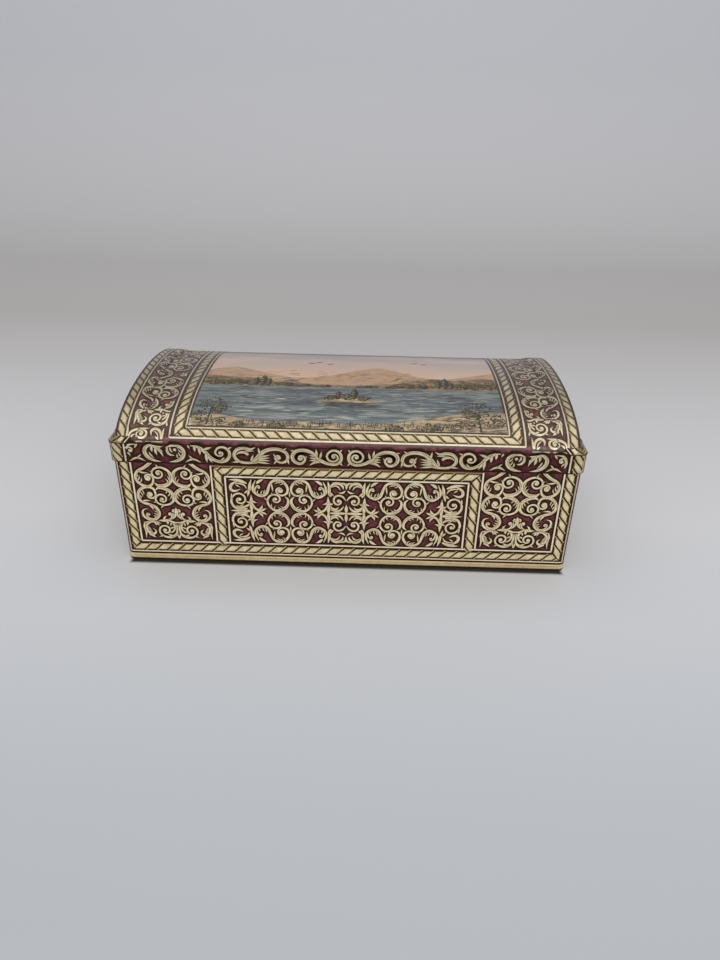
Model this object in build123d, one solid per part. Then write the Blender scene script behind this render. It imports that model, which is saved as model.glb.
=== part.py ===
from build123d import *
import os

# Hinged tinplate box with a vaulted lid, for turkish delight.
# Origin at the centre of the footprint, +X along the length, -Y is the front, +Z up. Millimetres.

# --- driving sizes -------------------------------------------------------
BOX_LENGTH = 224.0          # outside of the wall, along X
BOX_DEPTH = 115.0           # outside of the wall, along Y
WALL_HEIGHT = 66.7          # to the top of the rim curl
CORNER_R = 3.5              # vertical corners of the wall, outside
SHEET = 0.30                # tinplate gauge
RUN_GAP = 0.30              # air between the lid and the box
RIM_CURL_R = 1.20           # inward curl on the top of the wall
FOOT_R = 1.0                # bend under the wall
FOOT_WIDTH = 3.0            # turned-in foot ring, measured from the outside of the wall
BASE_RISE = 1.8             # the base panel stands this far above the ground
BASE_FLANGE = 4.4           # outer rim of the base panel, from the outside of the wall
BASE_BEVEL = 1.4
BASE_R = 8.0                # corners of the base panel, measured like the wall
SEAM_WIDTH = 4.0            # lock seam of the wall, inside of the back
SEAM_THICK = 0.6
SEAM_X = -82.0
SEAM_CLEAR = 0.5            # its lower end stays this far over the base panel

SKIRT_BOTTOM = 57.25        # lower edge of the lid
FOLD_Z = 67.3               # fold between the skirt and the vault
HEM_HEIGHT = 3.0            # folded-in hem along the lower edge of the skirt
VAULT_RISE = 15.5           # crest of the vault above the fold
LEDGE = 0.8                 # ledge between the skirt and the spring of the vault
SHOULDER_RISE = 3.0         # shoulder of an end cap, above the fold
SHOULDER_IN_X = 4.0         # how far that shoulder leans in, at the ends
SHOULDER_IN_Y = 0.8         # and at the front and the back
SHOULDER_LAP = 0.3          # flat on top of the shoulder, outside the band
SHOULDER_TOP_R = 2.5        # its corners
CAP_LAP = 8.4               # the cap's skirt and shoulder reach this far along the lid
BAND_WIDTH = 7.7            # raised band over each end of the vault
BAND_RISE = 1.4             # the band stands this far over the vault at the crest
BAND_FOOT_OUT = 0.4         # and this far at its foot
BAND_EDGE = 0.3             # chamfer along its outer edge
FLARE_WIDTH = 2.6           # slope from the band down to the vault
FLARE_BEND = 1.0            # width of its steeper lower part
FLARE_BEND_RISE = 0.65      # and the share of the rise that this part takes
RIM_DEPTH = 1.0             # hollow of the band rim
PANEL_RECESS = 1.5          # end panel, back from the outer edge of the band

WIRE_R = 0.60               # hinge wire
CURL_HALF = 95.0            # lid curl that holds the wire
WIRE_INSET = 0.5            # the wire ends this far inside the curl
HOOK_RUN = 0.05             # running clearance of the hooks on the wire
STRAP_SHEET = 0.35
STRAP_WIDTH = 14.0
STRAP_X = 60.0
STRAP_TAIL = 14.0           # length of the strap below the wire's axis
STRAP_CRANK = 2.0           # the strap leaves the wall this far below that axis
HOOK_ROOT = 0.3             # and meets the ring this far below it
SLOT_SIDE = 0.3             # air beside each strap
SLOT_RISE = 1.8             # cut-away above the wire; its edge meets the lip of the hook
OPEN_ANGLE = 118.0
LIP_OUT = 1.95              # lip of the hook, out from the wire's axis
LIP_IN = 0.7                # and its root
STOP_GAP = 0.12             # air left under the cut-away's edge at full opening

# --- derived -------------------------------------------------------------
HALF_L = BOX_LENGTH / 2
HALF_D = BOX_DEPTH / 2
HEM_IN = RUN_GAP                          # hem of the lid, off the wall
SKIRT_IN = HEM_IN + SHEET                 # inner face of the skirt sheet, off the wall
SKIRT_OUT = SKIRT_IN + SHEET
CAP_OUT_X = HALF_L + SKIRT_OUT            # outside of the end caps
CAP_OUT_Y = HALF_D + SKIRT_OUT + SHEET    # they lap over the skirt at the front and the back
CAP_R = CORNER_R + SKIRT_OUT
VAULT_A = HALF_D + SKIRT_OUT - LEDGE      # half width of the vault, outside
VAULT_B = VAULT_RISE
BAND_A = VAULT_A + BAND_FOOT_OUT
BAND_B = VAULT_B + BAND_RISE
CAP_IN = CAP_OUT_X - CAP_LAP
BAND_OUT = CAP_OUT_X - SHOULDER_IN_X      # outer edge of the band
BAND_IN = BAND_OUT - BAND_WIDTH
FLARE_IN = BAND_IN - FLARE_WIDTH
PANEL_OUT = BAND_OUT - PANEL_RECESS
PANEL_IN = PANEL_OUT - SHEET
WIRE_HALF = CURL_HALF - WIRE_INSET
CURL_R = WIRE_R + SHEET
PIVOT_Y = HALF_D + SKIRT_IN + CURL_R
PIVOT_Z = SKIRT_BOTTOM + CURL_R
HOOK_IN_R = WIRE_R + HOOK_RUN
HOOK_OUT_R = HOOK_IN_R + STRAP_SHEET
BIG = 400.0                               # tools that cut right through
PAST = 5.0                                # and tools that run past a face


def rounded(half_x, half_y, radius, z0, z1):
    """Upright block with rounded corners."""
    face = RectangleRounded(2 * half_x, 2 * half_y, radius)
    return Pos(0, 0, z0) * extrude(face, amount=z1 - z0)


def around(section, half_x, half_y, radius):
    """Sweep a section round a rounded rectangle.

    The section lies in a plane with its x inward from the outside of the wall and its y up.
    """
    path = RectangleRounded(2 * half_x, 2 * half_y, radius).face().outer_wire()
    origin = path @ 0
    along = path % 0
    inward = Vector(0, 0, 1).cross(along)
    if inward.dot(origin) > 0:
        along = along * -1
        inward = inward * -1
    start = Plane(origin=(origin.X, origin.Y, 0), x_dir=inward, z_dir=along)
    return sweep(start * section, path=path)


def arch(a, b, x0, x1, low=FOLD_Z):
    """Half-elliptic prism over the fold, along X."""
    oval = Plane.YZ.offset(x0) * (Pos(0, FOLD_Z) * Ellipse(a, b))
    solid = extrude(oval, amount=x1 - x0)
    keep = Pos((x0 + x1) / 2, 0, low + BIG / 2) * Box(abs(x1 - x0) + 2, BIG, BIG)
    return solid & keep


def prism(section, x0, x1):
    """Extrude a section drawn in Y and Z along X."""
    return extrude(Plane.YZ.offset(x0) * section, amount=x1 - x0)


def block(x0, x1, y0, y1, z0, z1):
    centre = Pos((x0 + x1) / 2, (y0 + y1) / 2, (z0 + z1) / 2)
    return centre * Box(x1 - x0, y1 - y0, z1 - z0)


def point(radius, degrees, cx=0.0, cy=0.0):
    ray = Vector(radius, 0).rotate(Axis.Z, degrees)
    return (cx + ray.X, cy + ray.Y)


def body_wall():
    """Printed wrap with its rim curl, its turned-in foot and its lock seam."""
    s = SHEET
    r = RIM_CURL_R
    zc = WALL_HEIGHT - r
    edges = [
        Line((0, FOOT_R), (0, zc)),
        ThreePointArc((0, zc), (r, zc + r), (2 * r, zc)),
        Line((2 * r, zc), (2 * r - s, zc)),
        ThreePointArc((2 * r - s, zc), (r, zc + r - s), (s, zc)),
        Line((s, zc), (s, FOOT_R)),
        ThreePointArc((s, FOOT_R), point(FOOT_R - s, 225, FOOT_R, FOOT_R), (FOOT_R, s)),
        Line((FOOT_R, s), (FOOT_WIDTH, s)),
        Line((FOOT_WIDTH, s), (FOOT_WIDTH, 0)),
        Line((FOOT_WIDTH, 0), (FOOT_R, 0)),
        ThreePointArc((FOOT_R, 0), point(FOOT_R, 225, FOOT_R, FOOT_R), (0, FOOT_R)),
    ]
    wall = around(make_face(edges), HALF_L, HALF_D, CORNER_R)
    inner = HALF_D - SHEET
    seam = block(
        SEAM_X - SEAM_WIDTH / 2, SEAM_X + SEAM_WIDTH / 2,
        inner - SEAM_THICK, inner + SHEET / 2,
        BASE_RISE + SHEET + SEAM_CLEAR, zc - r,
    )
    return wall + seam


def base_plate():
    """Pressed base, its flange held on the foot ring inside the wall."""
    s = SHEET
    edge = BASE_FLANGE + BASE_BEVEL
    step = Polygon(
        (FOOT_R, s), (BASE_FLANGE, s), (edge, BASE_RISE), (edge + s, BASE_RISE),
        (edge + s, BASE_RISE + s), (edge - s / 2, BASE_RISE + s),
        (BASE_FLANGE - s / 2, 2 * s), (FOOT_R, 2 * s),
        align=None,
    )
    flange = around(step, HALF_L, HALF_D, BASE_R)
    rim = rounded(HALF_L - FOOT_R, HALF_D - FOOT_R, CORNER_R - FOOT_R, s, 2 * s)
    rim = rim - rounded(HALF_L - BASE_FLANGE, HALF_D - BASE_FLANGE, BASE_R - BASE_FLANGE, 0, 3 * s)
    panel = rounded(HALF_L - edge, HALF_D - edge, BASE_R - edge, BASE_RISE, BASE_RISE + s)
    return flange + rim + panel


def vault_outline(grow, low):
    """Outer envelope of the vault sheet: skirt, ledge and vault."""
    oval = Pos(0, FOLD_Z) * Ellipse(VAULT_A + grow, VAULT_B + grow)
    half = HALF_D + SKIRT_OUT + grow
    skirt = Pos(0, (low + FOLD_Z + grow) / 2) * Rectangle(2 * half, FOLD_Z + grow - low)
    lower = Pos(0, FOLD_Z - BIG / 2) * Rectangle(BIG, BIG)
    return (oval - lower) + skirt


def lid_vault():
    """Printed lid sheet: front skirt, vault and back skirt, curled at the back for the wire."""
    low = SKIRT_BOTTOM
    sheet = vault_outline(0, low) - vault_outline(-SHEET, low - PAST)
    hem = Pos(-(HALF_D + SKIRT_IN - SHEET / 2), low + HEM_HEIGHT / 2) * Rectangle(SHEET, HEM_HEIGHT)
    back = Pos(HALF_D + SKIRT_IN + SHEET / 2, low + CURL_R / 2) * Rectangle(SHEET, CURL_R)
    curl = Pos(PIVOT_Y, PIVOT_Z) * (Circle(CURL_R) - Circle(WIRE_R))
    lid = prism(sheet + hem - back, -PANEL_IN, PANEL_IN)
    ends = prism(back, -PANEL_IN, PANEL_IN) - block(-CURL_HALF, CURL_HALF, 0, BIG, 0, BIG)
    lid = lid + ends + prism(curl, -CURL_HALF, CURL_HALF)
    half = STRAP_WIDTH / 2 + SLOT_SIDE
    for side in (-1, 1):
        x = side * STRAP_X
        slot = block(x - half, x + half, HALF_D, PIVOT_Y + PAST, low - PAST, PIVOT_Z + SLOT_RISE)
        lid = lid - slot
    return lid


def shoulder(half_x, half_y, radius, top_x, top_y, top_r, z0, z1):
    lower = Pos(0, 0, z0) * RectangleRounded(2 * half_x, 2 * half_y, radius)
    upper = Pos(0, 0, z1) * RectangleRounded(2 * top_x, 2 * top_y, top_r)
    return loft([lower, upper], ruled=True)


def half_oval(a, b, x):
    """Upper half of an ellipse on the fold, across the lid at x."""
    lower = Pos(0, FOLD_Z - BIG / 2) * Rectangle(BIG, BIG)
    return Plane.YZ.offset(x) * ((Pos(0, FOLD_Z) * Ellipse(a, b)) - lower)


def band(inset):
    """Raised band with the flare that brings it down on the vault, drawn in by the inset."""
    foot_rise = SHEET - inset
    stations = [
        (FLARE_IN, foot_rise, foot_rise),
        (
            FLARE_IN + FLARE_BEND,
            foot_rise + (BAND_FOOT_OUT - SHEET) * FLARE_BEND_RISE,
            foot_rise + (BAND_RISE - SHEET) * FLARE_BEND_RISE,
        ),
        (BAND_IN, BAND_FOOT_OUT - inset, BAND_RISE - inset),
    ]
    ovals = [half_oval(VAULT_A + out, VAULT_B + up, x) for x, out, up in stations]
    flare = loft(ovals, ruled=True)
    if inset:
        return flare + arch(BAND_A - inset, BAND_B - inset, BAND_IN, BAND_OUT - inset)
    e = BAND_EDGE
    flat = arch(BAND_A, BAND_B, BAND_IN, BAND_OUT - e)
    edge = loft(
        [half_oval(BAND_A, BAND_B, BAND_OUT - e), half_oval(BAND_A - e, BAND_B - e, BAND_OUT)],
        ruled=True,
    )
    return flare + flat + edge


def lid_end():
    """Right-hand end cap: skirt, leaning shoulder, raised band and recessed end panel."""
    s = SHEET
    top = FOLD_Z + SHOULDER_RISE
    top_x = BAND_OUT + SHOULDER_LAP
    top_y = CAP_OUT_Y - SHOULDER_IN_Y
    top_r = SHOULDER_TOP_R
    outer = rounded(CAP_OUT_X, CAP_OUT_Y, CAP_R, SKIRT_BOTTOM, FOLD_Z)
    outer += shoulder(CAP_OUT_X, CAP_OUT_Y, CAP_R, top_x, top_y, top_r, FOLD_Z, top)
    outer = outer & block(CAP_IN, BIG, -BIG, BIG, 0, BIG)
    inner = rounded(CAP_OUT_X - s, CAP_OUT_Y - s, CAP_R - s, SKIRT_BOTTOM - PAST, FOLD_Z - s / 2)
    inner += shoulder(
        CAP_OUT_X - s, CAP_OUT_Y - s, CAP_R - s,
        top_x - s, top_y - s, top_r - s, FOLD_Z - s / 2, top - s,
    )
    low = block(CAP_IN, CAP_IN + s, -BIG, BIG, FOLD_Z, BIG)
    hollow = band(s) - arch(BAND_A - RIM_DEPTH, BAND_B - RIM_DEPTH, PANEL_IN, BAND_OUT)
    inner = (inner - low) + hollow
    recess = arch(
        BAND_A - RIM_DEPTH - s, BAND_B - RIM_DEPTH - s, PANEL_OUT, BAND_OUT + PAST, low=top + s,
    )
    cap = (outer + band(0)) - inner - recess
    cap = cap - prism(vault_outline(0, SKIRT_BOTTOM - PAST), -BIG / 2, PANEL_IN)
    hem_out = rounded(CAP_OUT_X - s, CAP_OUT_Y - s, CAP_R - s, SKIRT_BOTTOM, SKIRT_BOTTOM + HEM_HEIGHT)
    hem_in = rounded(
        CAP_OUT_X - 2 * s, CAP_OUT_Y - 3 * s, CAP_R - 2 * s,
        SKIRT_BOTTOM - PAST, SKIRT_BOTTOM + HEM_HEIGHT + PAST,
    )
    hem = (hem_out - hem_in) & block(PANEL_OUT, BIG, -BIG / 2, BIG / 2, 0, BIG)
    return cap + hem


def hinge_wire():
    return Pos(0, PIVOT_Y, PIVOT_Z) * (Rot(0, 90, 0) * Cylinder(WIRE_R, 2 * WIRE_HALF))


def hinge_strap():
    """Strap on the back wall, hooked over the wire, its end turned out as the lid's stop."""
    t = STRAP_SHEET
    wall = -(PIVOT_Y - HALF_D)
    ring = Circle(HOOK_OUT_R) - Circle(HOOK_IN_R)
    gone = Polygon((0, 0), (PAST, -PAST), (-PAST, -PAST), (-PAST, 0), align=None)
    skirt_y = HALF_D + SKIRT_OUT - PIVOT_Y
    edge = Vector(skirt_y, SLOT_RISE).rotate(Axis.Z, -OPEN_ANGLE)
    lip_top = edge.Y - STOP_GAP
    lip = Pos((LIP_IN + LIP_OUT) / 2, lip_top - t / 2) * Rectangle(LIP_OUT - LIP_IN, t)
    tail = Polygon(
        (wall, -STRAP_TAIL), (wall + t, -STRAP_TAIL), (wall + t, -STRAP_CRANK),
        (-HOOK_IN_R, -HOOK_ROOT), (-HOOK_IN_R, 0), (-HOOK_OUT_R, 0),
        (-HOOK_OUT_R, -HOOK_ROOT), (wall, -STRAP_CRANK),
        align=None,
    )
    hook = (ring - gone) + (lip - Circle(HOOK_IN_R)) + tail
    return prism(Pos(PIVOT_Y, PIVOT_Z) * hook, STRAP_X - STRAP_WIDTH / 2, STRAP_X + STRAP_WIDTH / 2)


right_end = lid_end()
right_strap = hinge_strap()
NODES = {
    "body_wall": body_wall(),
    "base_plate": base_plate(),
    "lid_vault": lid_vault(),
    "lid_end_right": right_end,
    "lid_end_left": mirror(right_end, about=Plane.YZ),
    "hinge_wire": hinge_wire(),
    "hinge_strap_right": right_strap,
    "hinge_strap_left": mirror(right_strap, about=Plane.YZ),
}

os.makedirs("parts", exist_ok=True)
for name, shape in NODES.items():
    export_step(shape, f"parts/{name}.step")
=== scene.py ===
import math

import bpy
import numpy as np
from mathutils import Matrix, Vector


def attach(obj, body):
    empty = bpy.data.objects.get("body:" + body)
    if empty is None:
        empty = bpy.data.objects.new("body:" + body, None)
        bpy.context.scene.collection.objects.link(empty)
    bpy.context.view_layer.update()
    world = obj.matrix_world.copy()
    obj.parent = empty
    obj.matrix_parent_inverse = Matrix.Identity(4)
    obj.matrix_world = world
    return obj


# Hinged tinplate box for turkish delight: printed ornament, lid picture, materials and studio.
# Prints are drawn flat in millimetres and laid on the metal. Blender's own objects are in metres.

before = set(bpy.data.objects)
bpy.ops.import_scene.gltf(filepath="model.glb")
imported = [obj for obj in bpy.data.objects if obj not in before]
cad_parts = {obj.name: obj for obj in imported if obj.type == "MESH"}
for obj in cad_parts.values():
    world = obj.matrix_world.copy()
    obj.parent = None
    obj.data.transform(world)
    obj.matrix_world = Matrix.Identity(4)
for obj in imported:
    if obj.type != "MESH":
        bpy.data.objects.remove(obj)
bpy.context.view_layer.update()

MM = 0.001

# --- the box, in millimetres ---------------------------------------------
WALL_X, WALL_Y, WALL_R = 112.0, 57.5, 3.5       # wall: half length, half depth, corner radius
CAP_X, CAP_Y, CAP_R = 112.9, 58.7, 4.4          # skirt of the end caps
CAP_IN = 104.5                                  # inner edge of a cap's skirt
CAP_STEP, CAP_RUN = 0.3, 0.3                    # step of a cap over the lid's skirt: height, width
FOLD_Z = 67.3                                   # fold between the skirt and the vault
SHOULDER_Z = 70.3
TOP_X, TOP_Y, TOP_R = 109.2, 57.9, 2.5          # upper edge of the shoulder
VAULT_A, VAULT_B = 57.6, 15.5                   # half width and rise of the vault
BAND_PROFILE = (                                # |x|, growth outwards, growth upwards
    (98.3, 0.0, 0.0), (98.6, 0.3, 0.3), (99.6, 0.365, 1.015), (101.2, 0.4, 1.4),
)
PANEL_X = 107.4                                 # outer face of a recessed end panel
PANEL_A, PANEL_B = 56.7, 15.6

# --- printing ------------------------------------------------------------
LIFT = {                                        # height of each ink over the metal
    "ground": 0.02, "shade": 0.04, "dim": 0.055, "gold": 0.07, "pale": 0.07, "rim": 0.07, "vein": 0.07,
    "wash": 0.09, "foot": 0.09, "strand": 0.105, "margin": 0.13,
    "sky": 0.03, "far_hill": 0.05, "hill": 0.06, "water": 0.07, "glint": 0.09,
    "shore": 0.10, "stroke": 0.12, "bush": 0.14, "leaf_light": 0.16,
}
FLAT_STEP, BENT_STEP = 0.0012, 0.006            # each later shape of a motif lies this much higher
LEVELS = 50                                     # after so many shapes the lift starts again
FACET, VAULT_FACET, FINE_FACET = 1.3, 1.0, 0.4  # widest facet of a print, on the vault, on a tight bend
CORNER_REACH, FOLD_REACH = 1.5, 16              # facets are fine from this far off a corner and a fold
STEP = 0.5                                      # spacing of points along a drawn line
BRIGHT = ("gold", "pale")                       # inks that get a dark ground and a rim
OUTLINE = 1.0                                   # dark ground round every bright shape
RIM = 0.2                                       # dark edge that parts a gold shape from those under it
BOLD = 0.92                                     # drawn width of a stroke, as a share of its nominal width
VEIN_FROM, VEIN_SHARE, VEIN_MOST = 1.15, 0.45, 0.2      # a stroke wider than this gets a dark vein
VEIN_ASIDE = 0.14                               # the vein lies this share of the width off the middle
CURL_STEP = 32                                  # degrees between the points of a stroke round its eye
ROPE_W, ROPE_PITCH = 3.5, 5.83                  # width of a rope, length of a strand along it
ROPE_EDGE = 0.85                                # dark ground beside a rope
ROPE_DIM = 0.38                                 # darker gold along both edges of a rope
STRAND_WASH, STRAND_LINE, ROPE_SEAM = 1.7, 0.7, 0.45    # soft edge of a strand, its dark line, seam
UPRIGHT, LEVEL = 1.3, 1.05                      # how far the strands of standing and lying ropes lean


# --- drawing kit -----------------------------------------------------------
class Print:
    """Flat shapes in layers of ink, u to the right and v up. Each shape is a strip between two edges."""

    def __init__(self, outline=OUTLINE):
        self.strips = {name: [] for name in LIFT}
        self.outline = outline
        self.order = 0
        self.copies = 0

    def strip(self, ink, left, right, order=None):
        level = self.order if order is None else order
        self.strips[ink].append((np.asarray(left, float), np.asarray(right, float), level))

    def field(self, ink, u, top, foot):
        """Flat area between two heights; each is one number, or one for every u."""
        self.strip(ink, *(np.column_stack([u, np.broadcast_to(v, len(u))]) for v in (top, foot)))

    def add(self, other, move=(0, 0), scale=(1, 1)):
        """Lay another print on this one, scaled and moved."""
        self.copies += 1
        above = 0.22 * (self.copies % 4)
        for ink, strips in other.strips.items():
            for left, right, order in strips:
                self.strip(ink, left * scale + move, right * scale + move, order + above)

    def mirrored(self, other, across_u=True, across_v=False):
        """Lay another print on this one with its mirror images."""
        for su in ((1, -1) if across_u else (1,)):
            for sv in ((1, -1) if across_v else (1,)):
                self.add(other, scale=(su, sv))


def smooth(points, values):
    """A smooth line through the points in equal steps, with a value for each of its points."""
    p = np.array(points, float)
    ends = np.vstack([2 * p[0] - p[1], p, 2 * p[-1] - p[-2]])
    f = np.linspace(0, 1, 12, endpoint=False)[:, None]
    parts, levels = [], []
    for i in range(len(p) - 1):
        a, b, c, d = ends[i:i + 4]
        square, cube = 2 * a - 5 * b + 4 * c - d, 3 * b - a - 3 * c + d
        parts.append(0.5 * (2 * b + (c - a) * f + square * f**2 + cube * f**3))
        levels.append(values[i] + (values[i + 1] - values[i]) * f[:, 0])
    line = np.vstack(parts + [p[-1:]])
    level = np.append(np.concatenate(levels), values[-1])
    along = np.insert(np.cumsum(np.hypot(*np.diff(line, axis=0).T)), 0, 0)
    s = np.linspace(0, along[-1], max(4, int(along[-1] / STEP) + 1))
    even = np.column_stack([np.interp(s, along, line[:, axis]) for axis in (0, 1)])
    return even, np.interp(s, along, level)


def normals(line):
    t = np.gradient(line, axis=0)
    t /= np.maximum(np.hypot(*t.T), 1e-9)[:, None]
    return np.column_stack([-t[:, 1], t[:, 0]])


def ribbon(p, line, widths, ink="gold"):
    """Stroke of ink along a line. A bright ink gets a dark ground and a thin dark rim."""
    n = normals(line)
    half = np.asarray(widths)[:, None] / 2
    if ink in BRIGHT:
        p.order += 1
        p.strip("shade", line + n * (half + p.outline), line - n * (half + p.outline))
        p.strip("rim", line + n * (half + RIM), line - n * (half + RIM), p.order - 0.5)
    p.strip(ink, line + n * half, line - n * half, p.order + (0.4 if ink == "vein" else 0))


def disc(p, centre, radius, ink="gold"):
    a = np.linspace(0, math.pi, 9)
    upper = np.column_stack([np.cos(a), np.sin(a)])
    lower = upper * (1, -1)
    if ink == "gold":
        p.order += 1
        reach = radius + p.outline
        p.strip("shade", centre + upper * reach, centre + lower * reach)
    p.strip(ink, centre + upper * radius, centre + lower * radius)


def leaf(p, root, tip, width, bow=0.0):
    """Pointed leaf. bow bends it to the left of its direction."""
    root, tip = np.array(root, float), np.array(tip, float)
    along = tip - root
    side = np.array([-along[1], along[0]]) * bow
    f = np.linspace(0, 1, 8)[:, None]
    line = root + along * f + side * 4 * f * (1 - f)
    shape = width * np.sin(math.pi * (0.14 + 0.86 * f[:, 0])) ** 1.1
    ribbon(p, line, np.maximum(shape * BOLD, 0.05))


def leaves(p, width, bow, *spans):
    """Leaves of one width and bow, each from its root to its tip."""
    for root, tip in spans:
        leaf(p, root, tip, width, bow)


def vine(p, points, widths, eye=None, turn=0, ball=0.9):
    """Ribbon along the points. With an eye it then winds round it by turn degrees into a ball."""
    points, widths = list(points), list(widths)
    if eye:
        away = np.array(points[-1]) - eye
        start, reach = math.atan2(away[1], away[0]), np.hypot(*away)
        steps = max(3, round(abs(turn) / CURL_STEP))
        last = widths[-1]
        for k in range(1, steps + 1):
            f = k / steps
            a = start + math.radians(turn) * f
            r = reach + (ball * 0.6 - reach) * f ** 1.25
            points.append((eye[0] + r * math.cos(a), eye[1] + r * math.sin(a)))
            widths.append(last * (1 - 0.25 * f))
        disc(p, eye, ball)
    line, width = smooth(points, widths)
    width = width * BOLD
    ribbon(p, line, width)
    thick = np.clip((width - VEIN_FROM) * VEIN_SHARE, 0, VEIN_MOST)
    aside = line + normals(line) * width[:, None] * VEIN_ASIDE
    for a, b in runs(thick > 0.03):
        ribbon(p, aside[a:b], thick[a:b], "vein")


def runs(mask):
    """Start and end of each run of true values, at least three long."""
    edges = np.flatnonzero(np.diff(np.concatenate([[0], mask.astype(int), [0]])))
    return [(a, b) for a, b in zip(edges[::2], edges[1::2]) if b - a > 2]


def line(p, a, b, width=0.75, ink="gold"):
    """Straight line."""
    a, b = np.array(a, float), np.array(b, float)
    f = np.linspace(0, 1, max(2, int(np.hypot(*(b - a)) / 0.8) + 1))[:, None]
    path = a + (b - a) * f
    ribbon(p, path, np.full(len(path), width), ink)


def rope(p, a, b, lean, mitre=(0, 0), pitch=ROPE_PITCH, width=ROPE_W):
    """Twisted border from a to b. Its strands lean forwards on the left, backwards if lean is negative.

    mitre says by how much of its half width the left edge is shorter at the start and longer at the end.
    """
    a, b = np.array(a, float), np.array(b, float)
    length = np.hypot(*(b - a))
    d = (b - a) / length
    n = np.array([-d[1], d[0]])
    h = width / 2

    def at(s, y):
        return a + np.outer(s, d) + np.outer(y, n)

    p.order += 1
    f = np.linspace(0, 1, max(2, int(length / 0.8) + 1))
    for ink, reach in (("shade", h + ROPE_EDGE), ("dim", h), ("gold", h - ROPE_DIM)):
        p.strip(ink, *(at(mitre[0] * y + (length + (mitre[1] - mitre[0]) * y) * f, np.full(len(f), y))
                       for y in (reach, -reach)))
    count = max(1, round(length / pitch))
    for k in range(-1, count + 2):
        c = k * length / count
        low, high = -h, h
        for limit, slope, sign in ((0, mitre[0], 1), (length, mitre[1], -1)):
            gap, rate = sign * (c - limit), sign * (slope - lean)
            if rate > 0:
                high = min(high, gap / rate)
            elif rate < 0:
                low = max(low, gap / rate)
            elif gap < -0.01:
                low = high
        if high - low < 0.6:
            continue
        y = np.linspace(low, high, 6)
        s = c + lean * y * (0.8 + 0.2 * (y / h) ** 2)
        ribbon(p, at(s, y), np.full(len(y), STRAND_WASH), "wash")
        ribbon(p, at(s, y), STRAND_LINE + 0.3 * (np.abs(y) / h) ** 3, "strand")
    for limit, slope in ((0, mitre[0]), (length, mitre[1])):
        if slope:
            y = np.linspace(-h, h, 4)
            ribbon(p, at(limit + slope * y, y), np.full(4, ROPE_SEAM), "strand")


# --- surfaces that carry the prints ---------------------------------------
def round_corner(u, out, half, radius):
    """Point of a wall with rounded corners at u along it; out is how far the face lies out."""
    flat = half - radius
    past = np.maximum(np.abs(u) - flat, 0)
    angle = np.minimum(past / radius, math.pi / 4)
    grow = out[1] + radius
    across = np.minimum(np.abs(u), flat) + grow * np.sin(angle)
    return np.sign(u) * across, -(out[0] - radius + grow * np.cos(angle))


def facing(x, y, z, side):
    """Turn a point of the front to the side: 0 front, 1 right, 2 back, 3 left."""
    c, s = ((1, 0), (0, 1), (-1, 0), (0, -1))[side]
    return np.column_stack([x * c - y * s, x * s + y * c, z])


def wall(side):
    half, out = ((WALL_X, WALL_Y), (WALL_Y, WALL_X))[side % 2]

    def place(u, v, lift):
        x, y = round_corner(u, (out, lift), half, WALL_R)
        return facing(x, y, v, side)
    return place


def skirt(side):
    half, out = ((CAP_X, CAP_Y), (CAP_Y, CAP_X))[side % 2]

    def place(u, v, lift):
        drop = CAP_STEP * np.clip((CAP_IN - np.abs(u)) / CAP_RUN, 0, 1) * (side % 2 == 0)
        x, y = round_corner(u, (out, lift - drop), half, CAP_R)
        return facing(x, y, v, side)
    return place


def shoulder(side):
    """Leaning shoulder between the skirt and the band; v is the way up the slope."""
    half, out = ((CAP_X, CAP_Y), (CAP_Y, CAP_X))[side % 2]
    top_half, top_out = ((TOP_X, TOP_Y), (TOP_Y, TOP_X))[side % 2]
    rise = SHOULDER_Z - FOLD_Z
    slope = math.hypot(out - top_out, rise)

    def place(u, v, lift):
        x0, y0 = round_corner(u, (out, lift), half, CAP_R)
        past = np.maximum(np.abs(u) - (half - CAP_R), 0) / CAP_R * TOP_R
        flat = np.minimum(np.abs(u), half - CAP_R) * (top_half - TOP_R) / (half - CAP_R)
        x1, y1 = round_corner(np.sign(u) * (flat + past), (top_out, lift), top_half, TOP_R)
        f = v / slope
        return facing(x0 + (x1 - x0) * f, y0 + (y1 - y0) * f, FOLD_Z + rise * f + lift, side)
    return place


def end_panel(side):
    sign = 1 if side == 1 else -1

    def place(u, v, lift):
        x = np.full(len(u), sign * (PANEL_X + lift))
        return np.column_stack([x, u * sign, v])
    return place


ARC = np.linspace(0, math.pi, 2001)
ARC_T = np.insert(np.cumsum(np.hypot(
    np.diff(-VAULT_A * np.cos(ARC)), np.diff(VAULT_B * np.sin(ARC)))), 0, 0)
VAULT_LENGTH = ARC_T[-1]


def vault(u, v, lift):
    """u along the box, v the way over the vault from the front fold."""
    angle = np.interp(v, ARC_T, ARC)
    profile = np.array(BAND_PROFILE)
    a = VAULT_A + np.interp(np.abs(u), profile[:, 0], profile[:, 1])
    b = VAULT_B + np.interp(np.abs(u), profile[:, 0], profile[:, 2])
    ny, nz = -np.cos(angle) / VAULT_A, np.sin(angle) / VAULT_B
    size = np.hypot(ny, nz)
    return np.column_stack([
        u, -a * np.cos(angle) + lift * ny / size, FOLD_Z + b * np.sin(angle) + lift * nz / size])


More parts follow.
